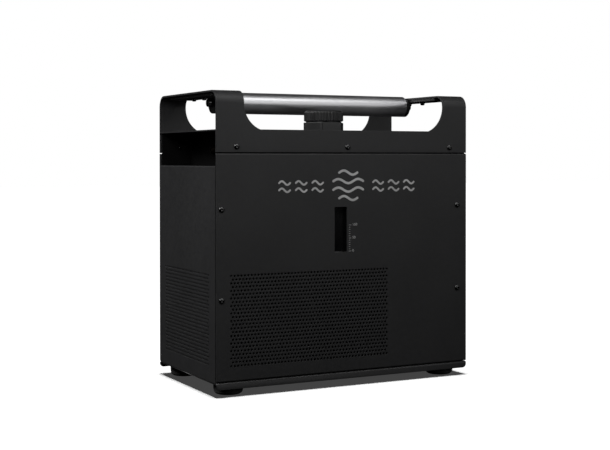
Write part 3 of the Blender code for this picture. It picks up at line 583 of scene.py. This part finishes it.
def vents(x0, y0, columns):
    """Round holes; every second row is shifted by half a pitch and holds one hole less."""
    return [circle(x0 + (i + 0.5 * (j % 2)) * VENT_PITCH, y0 + j * VENT_PITCH, VENT_RADIUS, 12, 0.5)
            for j in range(VENT_ROWS) for i in range(columns - j % 2)]


# ============================================================ case
def front_panel():
    """One sheet, folded back at the top and the bottom."""
    bend, low, high = 2.2, FRONT_LOW, FRONT_HIGH
    fold = Fold((high.y, low.z), ("line", (low.y + bend, low.z)),
                ("arc", (low.y + bend, low.z + bend), bend, 270, 180),
                ("line", (low.y, high.z - bend)),
                ("arc", (low.y + bend, high.z - bend), bend, 180, 90),
                ("line", (high.y, high.z)))
    rise = fold.marks[6] - low.z - bend               # length along the sheet, less height
    lap = 6                                           # the window's cover past its opening
    opening = rounded(WINDOW_LOW.x + lap, WINDOW_HIGH.x - lap,
                      WINDOW_LOW.z + lap + rise, WINDOW_HIGH.z - lap + rise, 1.2, 3)
    holes = ([opening] + [circle(x, z + rise, SCREW_HOLE) for x, z in FRONT_SCREWS]
             + vents(-209.4, VENTS_Z + rise, columns=49))
    piece("front_panel_folded",
          sheet(fold.outline(low.x, high.x), holes, fold.place, 1.8, fold.creases(low.x, high.x)),
          "coat", "powder_coat", replaces=("front_panel",))


def rear_panel():
    """A flat sheet with four screw holes."""
    low, high = REAR_LOW, REAR_HIGH
    piece("rear_panel_sheet",
          sheet(rectangle(low.x, high.x, low.z, high.z),
                [circle(x, z, SCREW_HOLE) for x, z in REAR_SCREWS],
                lambda x, z, depth: (x, high.y - depth, z), high.y - low.y, ease=0.45),
          "coat", "powder_coat", replaces=("rear_panel",))


def left_end_panel():
    """A flat sheet with vent holes."""
    piece("left_end_panel_sheet",
          sheet(rectangle(END_FRONT, END_REAR, END_LOW.z, END_TOP), vents(-93.8, VENTS_Z, columns=33),
                lambda y, z, depth: (END_LOW.x + depth, y, z), 1.9),
          "coat", "powder_coat", replaces=("left_end_panel",))


def left_end_angles():
    """Two upright angles inside the left corners; they carry the panel screws."""
    thick, leg_end = 1.6, END_LOW.x + 2.2
    bottom, top = FRONT_LOW.z + 2.3, END_HIGH.z - 2.6
    screw_x = FRONT_SCREWS[0][0]
    screw_heights = sorted({round(z, 3) for _, z in FRONT_SCREWS})
    for end, face, inward in (("front", END_FRONT + 0.2, 1), ("rear", END_REAR, -1)):
        # The leg along the front or rear panel, then the leg along the end panel.
        shape = sheet(rectangle(-230.4, -214.0, bottom, top),
                      [circle(screw_x, z, SCREW_HOLE) for z in screw_heights],
                      lambda x, z, depth: (x, face + inward * depth, z), thick, ease=0.3)
        low, high = sorted((face + inward * 2.1, face + inward * 16.0))
        block(rectangle(low, high, bottom, top), lambda y, z, x: (x, y, z),
              leg_end, leg_end + thick, 0.3, shape)
        # The angles wear the near-black look: painted shade for the dark slot beside the end panel.
        piece(f"left_end_angle_{end}", shape, "duct", "powder_coat")


def left_end_top():
    """The bend along the left end's top edge, and the sill inside it."""
    low, top = END_LOW, END_HIGH.z
    fold = Fold((low.x, END_TOP), ("line", (low.x, top - END_BEND)),
                ("arc", (low.x + END_BEND, top - END_BEND), END_BEND, 180, 90),
                ("line", (low.x + 7.0, top)))

    def place(y, along, depth):
        point = fold.at(along, depth)
        return point.x, y, point.y

    piece("left_end_top_bend",
          sheet(fold.outline(END_FRONT, END_REAR), [], place, 1.8,
                fold.creases(END_FRONT, END_REAR), ease=0.0),
          "coat", "powder_coat")
    sill = rounded(low.x + 7.2, -176.0, END_FRONT + 2.2, END_REAR - 2.2, 1.0, 3)
    # The sill wears the near-black look: painted shade inside the recess.
    piece("left_end_sill", block(sill, lambda x, y, z: (x, y, z), top - 2.0, top - 0.1, 0.4),
          "duct", "powder_coat")


def base_plate():
    """One sheet with front and rear lips, their corners rounded, and an upstand at the rear."""
    low, high = BASE_LOW, BASE_HIGH
    top = high.z - 11.0                               # the upstand is the node's highest point
    fold = arch(low.y, high.y, low.z, top, bend=2.6, steps=6)
    corner, lip = 6.5, fold.marks[0]
    floor_left = END_LOW.x + 2.3                      # between the lips the sheet stops short
    left, right, far = low.x + corner, high.x - corner, fold.length - corner
    outline = (arc(right, corner, corner, -90, 0, 6) + [(high.x, mark) for mark in fold.marks]
               + arc(right, far, corner, 0, 90, 6) + arc(left, far, corner, 90, 180, 6)
               + [(low.x, fold.length - lip)] + [(floor_left, mark) for mark in fold.marks[::-1]]
               + [(low.x, lip)] + arc(left, corner, corner, 180, 270, 6))
    shape = sheet(outline, [], fold.place, 1.7, fold.creases(floor_left, high.x), ease=0.35)
    block(rectangle(-200, 222, top - 1.6, high.z), lambda x, z, y: (x, y, z),
          high.y - 7.0, high.y - 5.0, 0.35, shape)
    piece("base_plate_folded", shape, "coat", "powder_coat", replaces=("base_plate",))


def handle_frame():
    """One sheet folded over the top, with the long cut-out for the tube."""
    left, right, foot = FRAME_LOW.x, FRAME_HIGH.x, FRAME_LOW.z
    fold = arch(FRAME_LOW.y, -FRAME_LOW.y, foot, FRAME_HIGH.z, bend=19.5, steps=16)
    # The cut-out's ends are arcs, cut off flat at its lower edge on the front and the rear.
    radius, arc_x = 44.3, 142.5
    arc_at, edge_at = 462.8 - foot, 421.5 - foot      # heights above the frame's foot
    half, far = arc_x + radius, fold.length - arc_at
    drop = math.degrees(math.asin((arc_at - edge_at) / radius))
    opening = (arc(arc_x, arc_at, radius, -drop, 0, 16) + [(half, mark) for mark in fold.marks]
               + arc(arc_x, far, radius, 0, drop, 16)
               + arc(-arc_x, far, radius, 180 - drop, 180, 16)
               + [(-half, mark) for mark in fold.marks[::-1]]
               + arc(-arc_x, arc_at, radius, 180, 180 + drop, 16))
    holes = [opening] + [circle(x, z - foot, SCREW_HOLE) for x, z in SKIRT_SCREWS]
    holes += [circle(x, fold.length - (z - foot), SCREW_HOLE) for x, z in SKIRT_SCREWS]
    holes += [circle(x, fold.length / 2 + y, 2.5) for x, y in STRAP_SCREWS]
    creases = [pair for mark in fold.marks
               for pair in (((left, mark), (-half, mark)), ((half, mark), (right, mark)))]
    piece("handle_frame_folded",
          sheet(fold.outline(left, right), holes, fold.place, 3.0, creases, ease=0.55),
          "coat", "powder_coat", replaces=("handle_frame",))


# ============================================================ fasteners
def hex_point(k, count, radius):
    """Point k of count on a hexagon of inner radius radius."""
    angle = 2 * math.pi * k / count
    off_flat = (angle + math.pi / 6) % (math.pi / 3) - math.pi / 6
    reach = radius / math.cos(off_flat)
    return reach * math.cos(angle), reach * math.sin(angle)


def socket_head(name, profile, hexagon, depth, count=48):
    """A turned fastener with a hex socket; +Z points out of the head.

    The profile of (radius, height) runs from the shank's end to the socket's rim."""
    shape = bmesh.new()
    rings = [[shape.verts.new((x, y, height)) for x, y in circle(0, 0, radius, count)]
             for radius, height in profile]
    rim = profile[-1][1]
    rings += [[shape.verts.new((*hex_point(k, count, hexagon), height)) for k in range(count)]
              for height in (rim - 0.15, rim - depth)]
    bridge(shape, rings)
    shape.faces.new(rings[0][::-1])
    tip = shape.verts.new((0, 0, rim - depth - 0.5))
    for k in range(count):
        shape.faces.new((rings[-1][k], rings[-1][(k + 1) % count], tip))
    return to_mesh(name, shape, "screw")


BUTTON_HEIGHT, DOME_HEIGHT, BOLT_HEIGHT = 2.4, 4.8, 8.6    # of the heads


def button_head(name, length):
    profile = [(1.9, -length), (2.3, -length + 0.5), (2.3, 0.0), (4.35, 0.0), (4.6, 0.18),
               (4.6, 0.62), (4.42, 1.05), (4.0, 1.5), (3.4, 1.9), (2.8, 2.18), (2.2, 2.34),
               (1.85, BUTTON_HEIGHT)]
    return socket_head(name, profile, hexagon=1.5, depth=1.5)


def fasten(node, mesh, axis, seat, turn):
    """Sets a fastener in a node's place, head along axis, the underside of its head at seat."""
    at = Matrix.Translation(Vector(seat) * MM) @ TURN[axis] @ Matrix.Rotation(turn, 4, "Z")
    placed("socket_" + node, mesh, at, "black_screw", replaces=(node,), smooth=28)


def panel_and_skirt_screws():
    panel = button_head("panel_screw", 6.0)
    skirt = button_head("skirt_screw", 5.3)
    long_skirt = button_head("long_screw", 9.3)
    kinds = ("front_screw", "rear_screw", "skirt_screw")
    for node in [name for name in NODES if name.startswith(kinds)]:
        low, high = box_mm(node)
        if "rear" in node:
            axis, seat_y = "Y", high.y - BUTTON_HEIGHT
        else:
            axis, seat_y = "-Y", low.y + BUTTON_HEIGHT
        mesh = panel
        if node.startswith("skirt"):
            mesh = long_skirt if node.endswith("_1") else skirt
        # Each socket comes to rest at its own angle.
        turn = math.radians((3 * round(low.x + high.x) + 7 * round(low.z)) % 60)
        fasten(node, mesh, axis, ((low.x + high.x) / 2, seat_y, (low.z + high.z) / 2), turn)


def strap_screws():
    """Domed screws, heads down, that hold the handle brackets under the frame."""
    dome = socket_head("strap_screw", [
        (1.7, -7.2), (2.05, -6.8), (2.05, 0.3), (3.8, 0.3), (4.0, 0.5), (4.0, 2.2), (3.88, 2.95),
        (3.5, 3.7), (2.95, 4.3), (2.3, 4.65), (1.9, DOME_HEIGHT)], hexagon=1.5, depth=1.8)
    for i in range(1, 5):
        low, high = box_mm(f"strap_screw_{i}")
        seat = ((low.x + high.x) / 2, (low.y + high.y) / 2, low.z + DOME_HEIGHT)
        fasten(f"strap_screw_{i}", dome, "-Z", seat, math.radians(13 * i))


def handle_bolts():
    bolt = socket_head("handle_bolt", [
        (3.6, -19.8), (4.0, -19.3), (4.0, 0.0), (6.7, 0.0), (7.0, 0.3), (7.0, 7.2), (6.88, 7.8),
        (6.5, 8.3), (5.9, BOLT_HEIGHT), (3.75, BOLT_HEIGHT)], hexagon=3.0, depth=4.2, count=60)
    for side, axis in (("left", "-X"), ("right", "X")):
        low, high = box_mm(f"handle_bolt_{side}")
        seat_x = high.x - BOLT_HEIGHT if side == "right" else low.x + BOLT_HEIGHT
        seat = (seat_x, (low.y + high.y) / 2, (low.z + high.z) / 2)
        fasten(f"handle_bolt_{side}", bolt, axis, seat, 0.3)


# ============================================================ feet
def feet():
    """Four turned rubber feet, each with a screw sunk in its underside."""
    for i in range(1, 5):
        low, high = box_mm(f"foot_{i}")
        centre, radius, top = (low + high) / 2, (high.x - low.x) / 2, high.z
        origin = (centre.x, centre.y, 0)
        # (radius, height, corner radius), from the recess in the underside to the top
        rubber_profile = [
            (0, 4.2, 0), (6.2, 4.2, 0), (6.2, 3.2, 0), (8.2, 3.2, 0.5), (8.2, 0.0, 0.9),
            (radius - 4.6, 0.0, 2.2), (radius - 1.0, 3.4, 1.6), (radius, 9.0, 2.0),
            (radius, top - 3.4, 0.4), (radius - 0.5, top - 3.0, 0.2),
            (radius - 0.5, top - 2.2, 0.2), (radius, top - 1.8, 0.4), (radius, top, 0.6),
            (0, top, 0)]
        piece(f"rubber_foot_{i}", turned(softened(rubber_profile, 4), "Z", origin, 72),
              "foot", "foot_rubber", replaces=(f"foot_{i}",), origin=origin)
        screw_profile = [(0, 5.6, 0), (1.4, 5.6, 0), (1.4, 3.9, 0), (3.0, 3.8, 0.4),
                         (4.6, 4.8, 0.6), (4.6, 6.4, 0), (0, 6.4, 0)]
        piece(f"foot_screw_{i}",
              turned(softened(screw_profile), "Z", (centre.x, centre.y, -2.0), 32),
              "screw", "black_screw", origin=origin)


# ============================================================ carrying handle
TUBE_RADIUS = (TUBE_HIGH.z - TUBE_LOW.z) / 2
TUBE_Z = (TUBE_LOW.z + TUBE_HIGH.z) / 2


def handle_tube():
    half, radius, bore = TUBE_HIGH.x, TUBE_RADIUS, TUBE_RADIUS - 2.5
    profile = softened([(bore, -half, 0.3), (radius, -half, 0.7), (radius, half, 0.7),
                        (bore, half, 0.3)], 4)
    piece("handle_tube_drawn", turned(profile, "X", (0, 0, TUBE_Z), 128), "tube", "satin_tube",
          replaces=("handle_tube",), origin=(0, 0, TUBE_Z))


def handle_brackets():
    """At each end: an ear against the tube's end, a strap under the frame, a plug in the tube."""
    bore, strap_top = 4.3, FRAME_HIGH.z - 3.3
    ear = arc(0, TUBE_Z, TUBE_RADIUS, 180, 360, 40)
    ear += [(TUBE_RADIUS, strap_top - 0.2), (-TUBE_RADIUS, strap_top - 0.2)]
    plug = softened([(bore, 160.5, 0.3), (TUBE_RADIUS - 2.8, 160.5, 0.8),
                     (TUBE_RADIUS - 2.8, 181.0, 0), (10.5, 181.0, 0), (10.5, 184.0, 0),
                     (bore, 184.0, 0)])
    for side, sign, axis in (("left", -1, "-X"), ("right", 1, "X")):
        shape = sheet(ear, [circle(0, TUBE_Z, bore, 32)],
                      lambda y, z, depth: ((188.6 - depth) * sign, y, z), 6.3, ease=0.6)
        sheet(rounded(187.0, 228.0, -96.0, 96.0, 5.0, 6),
              [circle(x * sign, y, SCREW_HOLE) for x, y in STRAP_SCREWS if x * sign > 0],
              lambda x, y, depth: (x * sign, y, strap_top - depth), 4.5, ease=0.45, shape=shape)
        turned(plug, axis, (0, 0, TUBE_Z), 64, shape)
        piece(f"handle_bracket_{side}_cast", shape, "fitting", "black_fitting",
              replaces=(f"handle_bracket_{side}",))


# ============================================================ filler neck and cap
NECK_ORIGIN = (NECK_X, NECK_Y, 0)


def neck_ring(z, radii):
    """A level ring about the filler's axis, with one radius per point."""
    turns = [2 * math.pi * k / len(radii) for k in range(len(radii))]
    return [(NECK_X + radius * math.cos(turn), NECK_Y + radius * math.sin(turn), z)
            for radius, turn in zip(radii, turns)]


def thread_radius(z, angle):
    """The screw thread on the neck: one start, fading out at both ends."""
    pitch, root, height, bottom, top, fade_length = 4.0, 25.7, 1.3, 437.8, 448.2, 1.5
    phase = (z / pitch - angle / (2 * math.pi)) % 1.0
    ridge = max(0.0, 1.0 - abs(phase - 0.5) * 3.2)
    fade = min(1.0, max(0.0, (z - bottom) / fade_length), max(0.0, (top - z) / fade_length))
    return root + height * ridge * fade


def filler_neck():
    count, thread_rings = 128, 32
    below = [(22.0, 331.0)] + softened([
        (25.0, 331.0, 0.4), (25.0, 435.6, 0), (29.8, 435.6, 0.2), (29.8, 437.2, 0.35),
        (26.4, 437.2, 0.3), (25.8, 437.6, 0)], 4)
    lip = [(25.4, 448.8), (25.1, 449.0), (22.3, 449.0), (22.0, 448.7)]
    rings = [neck_ring(z, [radius] * count) for radius, z in below]
    for i in range(thread_rings):
        z = 437.7 + 10.9 * i / (thread_rings - 1)
        radii = [thread_radius(z, 2 * math.pi * k / count) for k in range(count)]
        rings.append(neck_ring(z, radii))
    rings += [neck_ring(z, [radius] * count) for radius, z in lip]
    shape = bmesh.new()
    bridge(shape, [[shape.verts.new(point) for point in ring] for ring in rings], closed=True)
    piece("filler_neck_turned", shape, "cap", "cap_plastic", replaces=("filler_neck",),
          smooth=30, origin=NECK_ORIGIN)


def filler_collar():
    """The six-sided collar round the neck on the deck, with rounded corners."""
    corner, reach, first_corner, top = 5.0, 37.2, 57.1, 435.5
    deck_top = box_mm("top_deck")[1].z
    off = reach - corner / math.cos(math.radians(30))
    hexagon = []
    for k in range(6):
        degrees = first_corner + 60 * k
        angle = math.radians(degrees)
        hexagon += arc(NECK_X + off * math.cos(angle), NECK_Y + off * math.sin(angle), corner,
                       degrees - 30, degrees + 30, 10)
    piece("filler_collar_six_sided",
          sheet(hexagon, [circle(NECK_X, NECK_Y, 25.4, 96)],
                lambda x, y, depth: (x, y, top - depth), top - deck_top - 0.3, ease=0.8),
          "cap", "cap_plastic", origin=NECK_ORIGIN)


def filler_cap():
    """A hollow cap with grip ribs round its side and a shallow dish in its top."""
    low, high = box_mm("filler_cap")
    radius, bottom, top = (high.x - low.x) / 2, low.z, high.z
    ribs, points_per_rib = 36, 16
    count = ribs * points_per_rib
    # Plain rings as (radius, z): up from the inside of the cap, round its lower rim...
    under = [(27.4, top - 4.0), (27.4, bottom + 0.5), (27.9, bottom),
             (radius - 1.9, bottom), (radius - 1.5, bottom + 0.2)]
    # ...then ribbed rings as (z, groove depth, inset from the full radius)...
    side = [(bottom + 0.7, 0.8, 0.6), (bottom + 1.1, 1.1, 0.15), (bottom + 1.6, 1.4, 0.0),
            (top - 4.2, 1.4, 0.0), (top - 3.3, 1.2, 0.12), (top - 2.6, 0.8, 0.5),
            (top - 2.1, 0.3, 1.1)]
    # ...then plain rings over the top edge and in to the middle.
    over = [(radius - 1.8, top - 1.6), (radius - 2.3, top - 0.9), (radius - 3.0, top - 0.35),
            (radius - 4.0, top), (radius - 6.2, top), (radius - 6.8, top - 0.3),
            (radius - 7.4, top - 1.0), (radius - 8.0, top - 1.3), (10.0, top - 1.3),
            (9.6, top - 1.2), (9.2, top - 0.8), (8.6, top - 0.6), (3.0, top - 0.6)]
    phases = [(k % points_per_rib) / points_per_rib for k in range(count)]
    waves = [(0.5 - 0.5 * math.cos(2 * math.pi * phase)) ** 1.6 for phase in phases]
    rings = [neck_ring(z, [reach] * count) for reach, z in under]
    rings += [neck_ring(z, [radius - inset - groove * wave for wave in waves])
              for z, groove, inset in side]
    rings += [neck_ring(z, [reach] * count) for reach, z in over]
    piece("filler_cap_ribbed", loft(rings), "cap", "cap_plastic", body="cap",
          replaces=("filler_cap",), smooth=30, origin=(NECK_X, NECK_Y, bottom))


# ============================================================ CAD nodes kept as they are
# node: (look, width of its eased edges)
KEPT = {
    # The outlet duct's near-black look is painted shade of the recess.
    "top_deck": ("deck", 0.4), "outlet_duct": ("duct", 0.0), "right_end_panel": ("coat", 0.35),
    "sight_window": ("pane", 0.3), "cap_seal": ("seal", 0.3), "fluid_tank": ("tank", 0.0),
    "pump_body": ("coil", 0.0), "pump_plunger": ("steel", 0.0), "pump_spring": ("steel", 0.0),
    "suction_hose": ("hose", 0.0), "feed_hose": ("hose", 0.0), "heater_block": ("cast", 0.0),
    # The fog nozzle's near-black brass is painted shade of the recess.
    "fog_nozzle": ("brass", 0.0), "fan_frame": ("fan", 0.0), "fan_rotor": ("fan", 0.0),
    "power_supply": ("supply", 0.0), "control_board": ("board", 0.0),
    "display_panel": ("display", 0.3), "power_inlet": ("socket", 0.35),
    "power_switch": ("knob", 0.35), "data_socket_in": ("socket", 0.3),
    "data_socket_out": ("socket", 0.3), "menu_button_1": ("knob", 0.0),
    "menu_button_2": ("knob", 0.0), "menu_button_3": ("knob", 0.0), "menu_button_4": ("knob", 0.0),
}


def dress_kept_nodes():
    for name, (look, ease) in KEPT.items():
        obj = NODES[name]
        obj.data.materials.clear()
        obj.data.materials.append(LOOKS[look])
        weld = obj.modifiers.new("weld", "WELD")
        weld.merge_threshold = 0.00002
        if ease:
            bevel = obj.modifiers.new("ease", "BEVEL")
            bevel.width = ease * MM
            bevel.segments = 2
            bevel.limit_method = "ANGLE"
            bevel.angle_limit = math.radians(40)
            bevel.use_clamp_overlap = True
            obj.modifiers.new("normals", "WEIGHTED_NORMAL").keep_sharp = True


# ============================================================ print on the front
PRINT_FACE, PRINT_BACK = -0.12, 0.03   # depths of the print, from the front panel's face
PRINT_X = 1.0                          # the waves' middle


def print_verts(shape, points, depth):
    return [shape.verts.new((x, FRONT_LOW.y + depth, z)) for x, z in points]


def stroke_sides(points, width, closed=False):
    """The lines half a width to the left and to the right of a line."""
    left, right = [], []
    for i, point in enumerate(points):
        before = points[i - 1] if i or closed else point
        after = points[(i + 1) % len(points)] if i < len(points) - 1 or closed else point
        arriving, leaving = point - before, after - point
        arriving = arriving.normalized() if arriving.length else leaving.normalized()
        leaving = leaving.normalized() if leaving.length else arriving
        side = Vector((-(arriving.y + leaving.y), arriving.x + leaving.x))
        side *= width / 2 / max(1.0 + arriving.dot(leaving), 0.6)
        left.append(point + side)
        right.append(point - side)
    return left, right


def ring_stroke(shape, line, width):
    """One closed printed stroke, as a thin closed body."""
    left, right = stroke_sides([Vector(point) for point in line], width, closed=True)
    rings = ((left, PRINT_FACE), (right, PRINT_FACE), (right, PRINT_BACK), (left, PRINT_BACK))
    bridge(shape, [print_verts(shape, ring, depth) for ring, depth in rings], closed=True)


def stroke(shape, line, width, dots=8):
    """One printed stroke with round ends of dots segments, as a thin closed body."""
    points = [Vector(point) for point in line]
    left, right = stroke_sides(points, width)

    def round_end(centre, direction, quarter):
        first = math.atan2(direction.y, direction.x) + quarter
        turns = [first - math.pi * k / dots for k in range(1, dots)]
        return [centre + Vector((math.cos(t), math.sin(t))) * (width / 2) for t in turns]

    tail = round_end(points[-1], points[-1] - points[-2], math.pi / 2)
    head = round_end(points[0], points[1] - points[0], -math.pi / 2)
    left, right, tail, head = [
        [print_verts(shape, part, depth) for depth in (PRINT_FACE, PRINT_BACK)]
        for part in (left, right, tail, head)]
    for level in (0, 1):
        up, down = left[level], right[level]
        for i in range(len(points) - 1):
            shape.faces.new((up[i], up[i + 1], down[i + 1], down[i]))
        shape.faces.new([up[-1]] + tail[level] + [down[-1]])
        shape.faces.new([down[0]] + head[level] + [up[0]])
    bridge(shape, [left[k] + tail[k] + right[k][::-1] + head[k] for k in (0, 1)])


def wave(x, z, length, height, turns, steps=48):
    """A sine line about (x, z)."""
    return [(x - length / 2 + length * i / steps,
             z + height * math.sin(2 * math.pi * turns * i / steps)) for i in range(steps + 1)]


def mist_waves():
    """Four stacked waves in the middle, and three pairs of small ones to each side."""
    shape = bmesh.new()
    for z, length, turns in ((352.0, 34.0, 1.0), (338.0, 56.0, 1.5), (324.0, 56.0, 1.5),
                             (310.0, 34.0, 1.0)):
        stroke(shape, wave(PRINT_X, z, length, 3.4, turns), 3.9)
    for sign in (-1, 1):
        for k in range(3):
            for z in (335.8, 324.2):
                x = PRINT_X + sign * (57.0 + 30.0 * k)
                stroke(shape, wave(x, z, 19.5, 3.0, 1.0, 32), 3.1)
    piece("front_mist_waves", shape, "print", smooth=0)


def level_ticks():
    """Thirteen ticks, every sixth one longer and bolder."""
    shape = bmesh.new()
    ticks, bottom, span = 13, 222.5, 43.0
    for k in range(ticks):
        z = bottom + span * k / (ticks - 1)
        end, width = (6.4, 0.62) if k % 6 == 0 else (4.6, 0.5)
        stroke(shape, [(2.2, z), (end, z)], width, dots=4)
    piece("front_level_ticks", shape, "print", smooth=0)


# The strokes of the digits, as shares of a digit's width and height.
DIGITS = {
    "1": [(0.25, 0.72), (0.6, 1.0), (0.6, 0.0)],
    "5": [(0.92, 1.0), (0.16, 1.0), (0.12, 0.56), (0.5, 0.64), (0.85, 0.48), (0.88, 0.2),
          (0.6, 0.0), (0.1, 0.04)],
}


def level_numbers():
    shape = bmesh.new()
    width, height, spacing, line_width = 2.2, 3.7, 3.1, 0.5
    for text, z in (("100", 264.6), ("50", 243.1), ("0", 221.6)):
        for i, digit in enumerate(text):
            x = 9.0 + spacing * i
            if digit == "0":
                oval = [(x + width / 2 + width / 2 * across, z + height / 2 + height / 2 * up)
                        for across, up in circle(0, 0, 1, 20)]
                ring_stroke(shape, oval, line_width)
            else:
                line = [(x + width * across, z + height * up) for across, up in DIGITS[digit]]
                stroke(shape, line, line_width, dots=4)
    piece("front_level_numbers", shape, "print", smooth=0)


# ============================================================ studio
def studio_floor():
    """A wide pale floor that glows faintly and throws no light on the product."""
    shape = bmesh.new()
    bmesh.ops.create_grid(shape, x_segments=1, y_segments=1, size=14.0)
    mesh = bpy.data.meshes.new("studio_floor")
    shape.to_mesh(mesh)
    shape.free()
    floor = bpy.data.objects.new("studio_floor", mesh)
    bpy.context.scene.collection.objects.link(floor)
    look = Look("studio_floor_pale")
    pale = look.mix(look.noise(scale=3.0), first=(0.80, 0.80, 0.80), second=(0.82, 0.82, 0.82))
    look.link(pale, look.bsdf.inputs["Base Color"])
    look.value("Roughness", 0.9)
    look.value("Specular IOR Level", 0.0)
    glow = look.node("ShaderNodeEmission", Strength=0.055)
    both = look.node("ShaderNodeAddShader")
    look.link(look.bsdf.outputs[0], both.inputs[0])
    look.link(glow.outputs[0], both.inputs[1])
    look.link(both.outputs[0], look.tree.nodes["Material Output"].inputs["Surface"])
    mesh.materials.append(look.mat)
    floor.visible_diffuse = False
    floor.visible_glossy = False
    return floor


# name, place, aim, size, power in watts
SOFTBOXES = [
    ("key_high", (0.2, -0.9, 2.6), (0, 0, 0.35), (2.6, 1.2), 2.9),
    ("near_top", (0.1, -0.75, 1.25), (0, -0.1, 0.35), (1.2, 0.4), 3.8),
    ("front_mid", (0.9, -2.4, 1.1), (0, 0, 0.3), (1.4, 1.4), 6.8),
    ("left_near", (-1.0, -0.75, 0.95), (-0.235, -0.05, 0.3), (0.5, 0.5), 5.4),
    ("left_top", (-1.8, 0.2, 2.0), (0, 0, 0.3), (1.2, 1.2), 43.8),
    ("back_left", (-2.0, 1.5, 0.8), (0, 0, 0.3), (1.0, 1.2), 1.3),
    ("right_front", (2.4, -1.6, 1.2), (0, 0, 0.3), (1.2, 1.2), 4.0),
]


def studio_lights(floor):
    """The floor has its own overhead light; the softboxes light everything but the floor."""
    only_floor = bpy.data.collections.new("floor_light_reaches")
    not_floor = bpy.data.collections.new("softboxes_skip")
    only_floor.objects.link(floor)
    not_floor.objects.link(floor)
    not_floor.collection_objects[0].light_linking.link_state = "EXCLUDE"
    data = bpy.data.lights.new("floor_overhead", "SUN")
    data.energy = 4.3
    data.angle = math.radians(3.3)
    sun = bpy.data.objects.new("floor_overhead", data)
    bpy.context.scene.collection.objects.link(sun)
    sun.light_linking.receiver_collection = only_floor
    for name, place, aim, size, power in SOFTBOXES:
        data = bpy.data.lights.new(name, "AREA")
        data.shape = "RECTANGLE"
        data.size, data.size_y = size
        data.energy = power
        data.spread = math.radians(180.0)
        box = bpy.data.objects.new(name, data)
        box.location = place
        box.rotation_euler = (Vector(aim) - Vector(place)).to_track_quat("-Z", "Y").to_euler()
        bpy.context.scene.collection.objects.link(box)
        box.visible_camera = False
        box.light_linking.receiver_collection = not_floor


def studio_world():
    """White to the camera; it gives no light."""
    world = bpy.data.worlds.new("studio_white")
    world.use_nodes = True
    nodes, links = world.node_tree.nodes, world.node_tree.links
    path = nodes.new("ShaderNodeLightPath")
    seen, unseen = nodes["Background"], nodes.new("ShaderNodeBackground")
    blend = nodes.new("ShaderNodeMixShader")
    for background, strength in ((seen, 1.0), (unseen, 0.0)):
        background.inputs["Color"].default_value = (1, 1, 1, 1)
        background.inputs["Strength"].default_value = strength
    links.new(path.outputs["Is Camera Ray"], blend.inputs[0])
    links.new(unseen.outputs[0], blend.inputs[1])
    links.new(seen.outputs[0], blend.inputs[2])
    links.new(blend.outputs[0], nodes["World Output"].inputs["Surface"])
    scene = bpy.context.scene
    scene.world = world
    scene.view_settings.view_transform = "Standard"
    scene.view_settings.look = "None"


def studio_camera():
    """Stands in front and to the left, and sees the front and the left end."""
    data = bpy.data.cameras.new("camera")
    data.sensor_width, data.lens = 36.0, 72.31
    data.shift_x, data.shift_y = -0.0096, -0.08695
    data.clip_end = 60.0
    camera = bpy.data.objects.new("camera", data)
    bpy.context.scene.collection.objects.link(camera)
    place = (-0.98252, -1.89158, 0.3742)
    # yaw to the right of +Y, pitch below level
    yaw, pitch, roll = math.radians(27.370), math.radians(0.60), math.radians(-0.043)
    camera.matrix_world = (Matrix.Translation(place) @ Matrix.Rotation(-yaw, 4, "Z")
                           @ Matrix.Rotation(math.pi / 2 - pitch, 4, "X")
                           @ Matrix.Rotation(roll, 4, "Z"))
    bpy.context.scene.camera = camera


# ============================================================ build
for build in (front_panel, rear_panel, left_end_panel, left_end_angles, left_end_top,
              base_plate, handle_frame, panel_and_skirt_screws, strap_screws, handle_bolts,
              feet, handle_tube, handle_brackets, filler_neck, filler_collar, filler_cap,
              dress_kept_nodes, mist_waves, level_ticks, level_numbers):
    build()
studio_lights(studio_floor())
studio_world()
studio_camera()
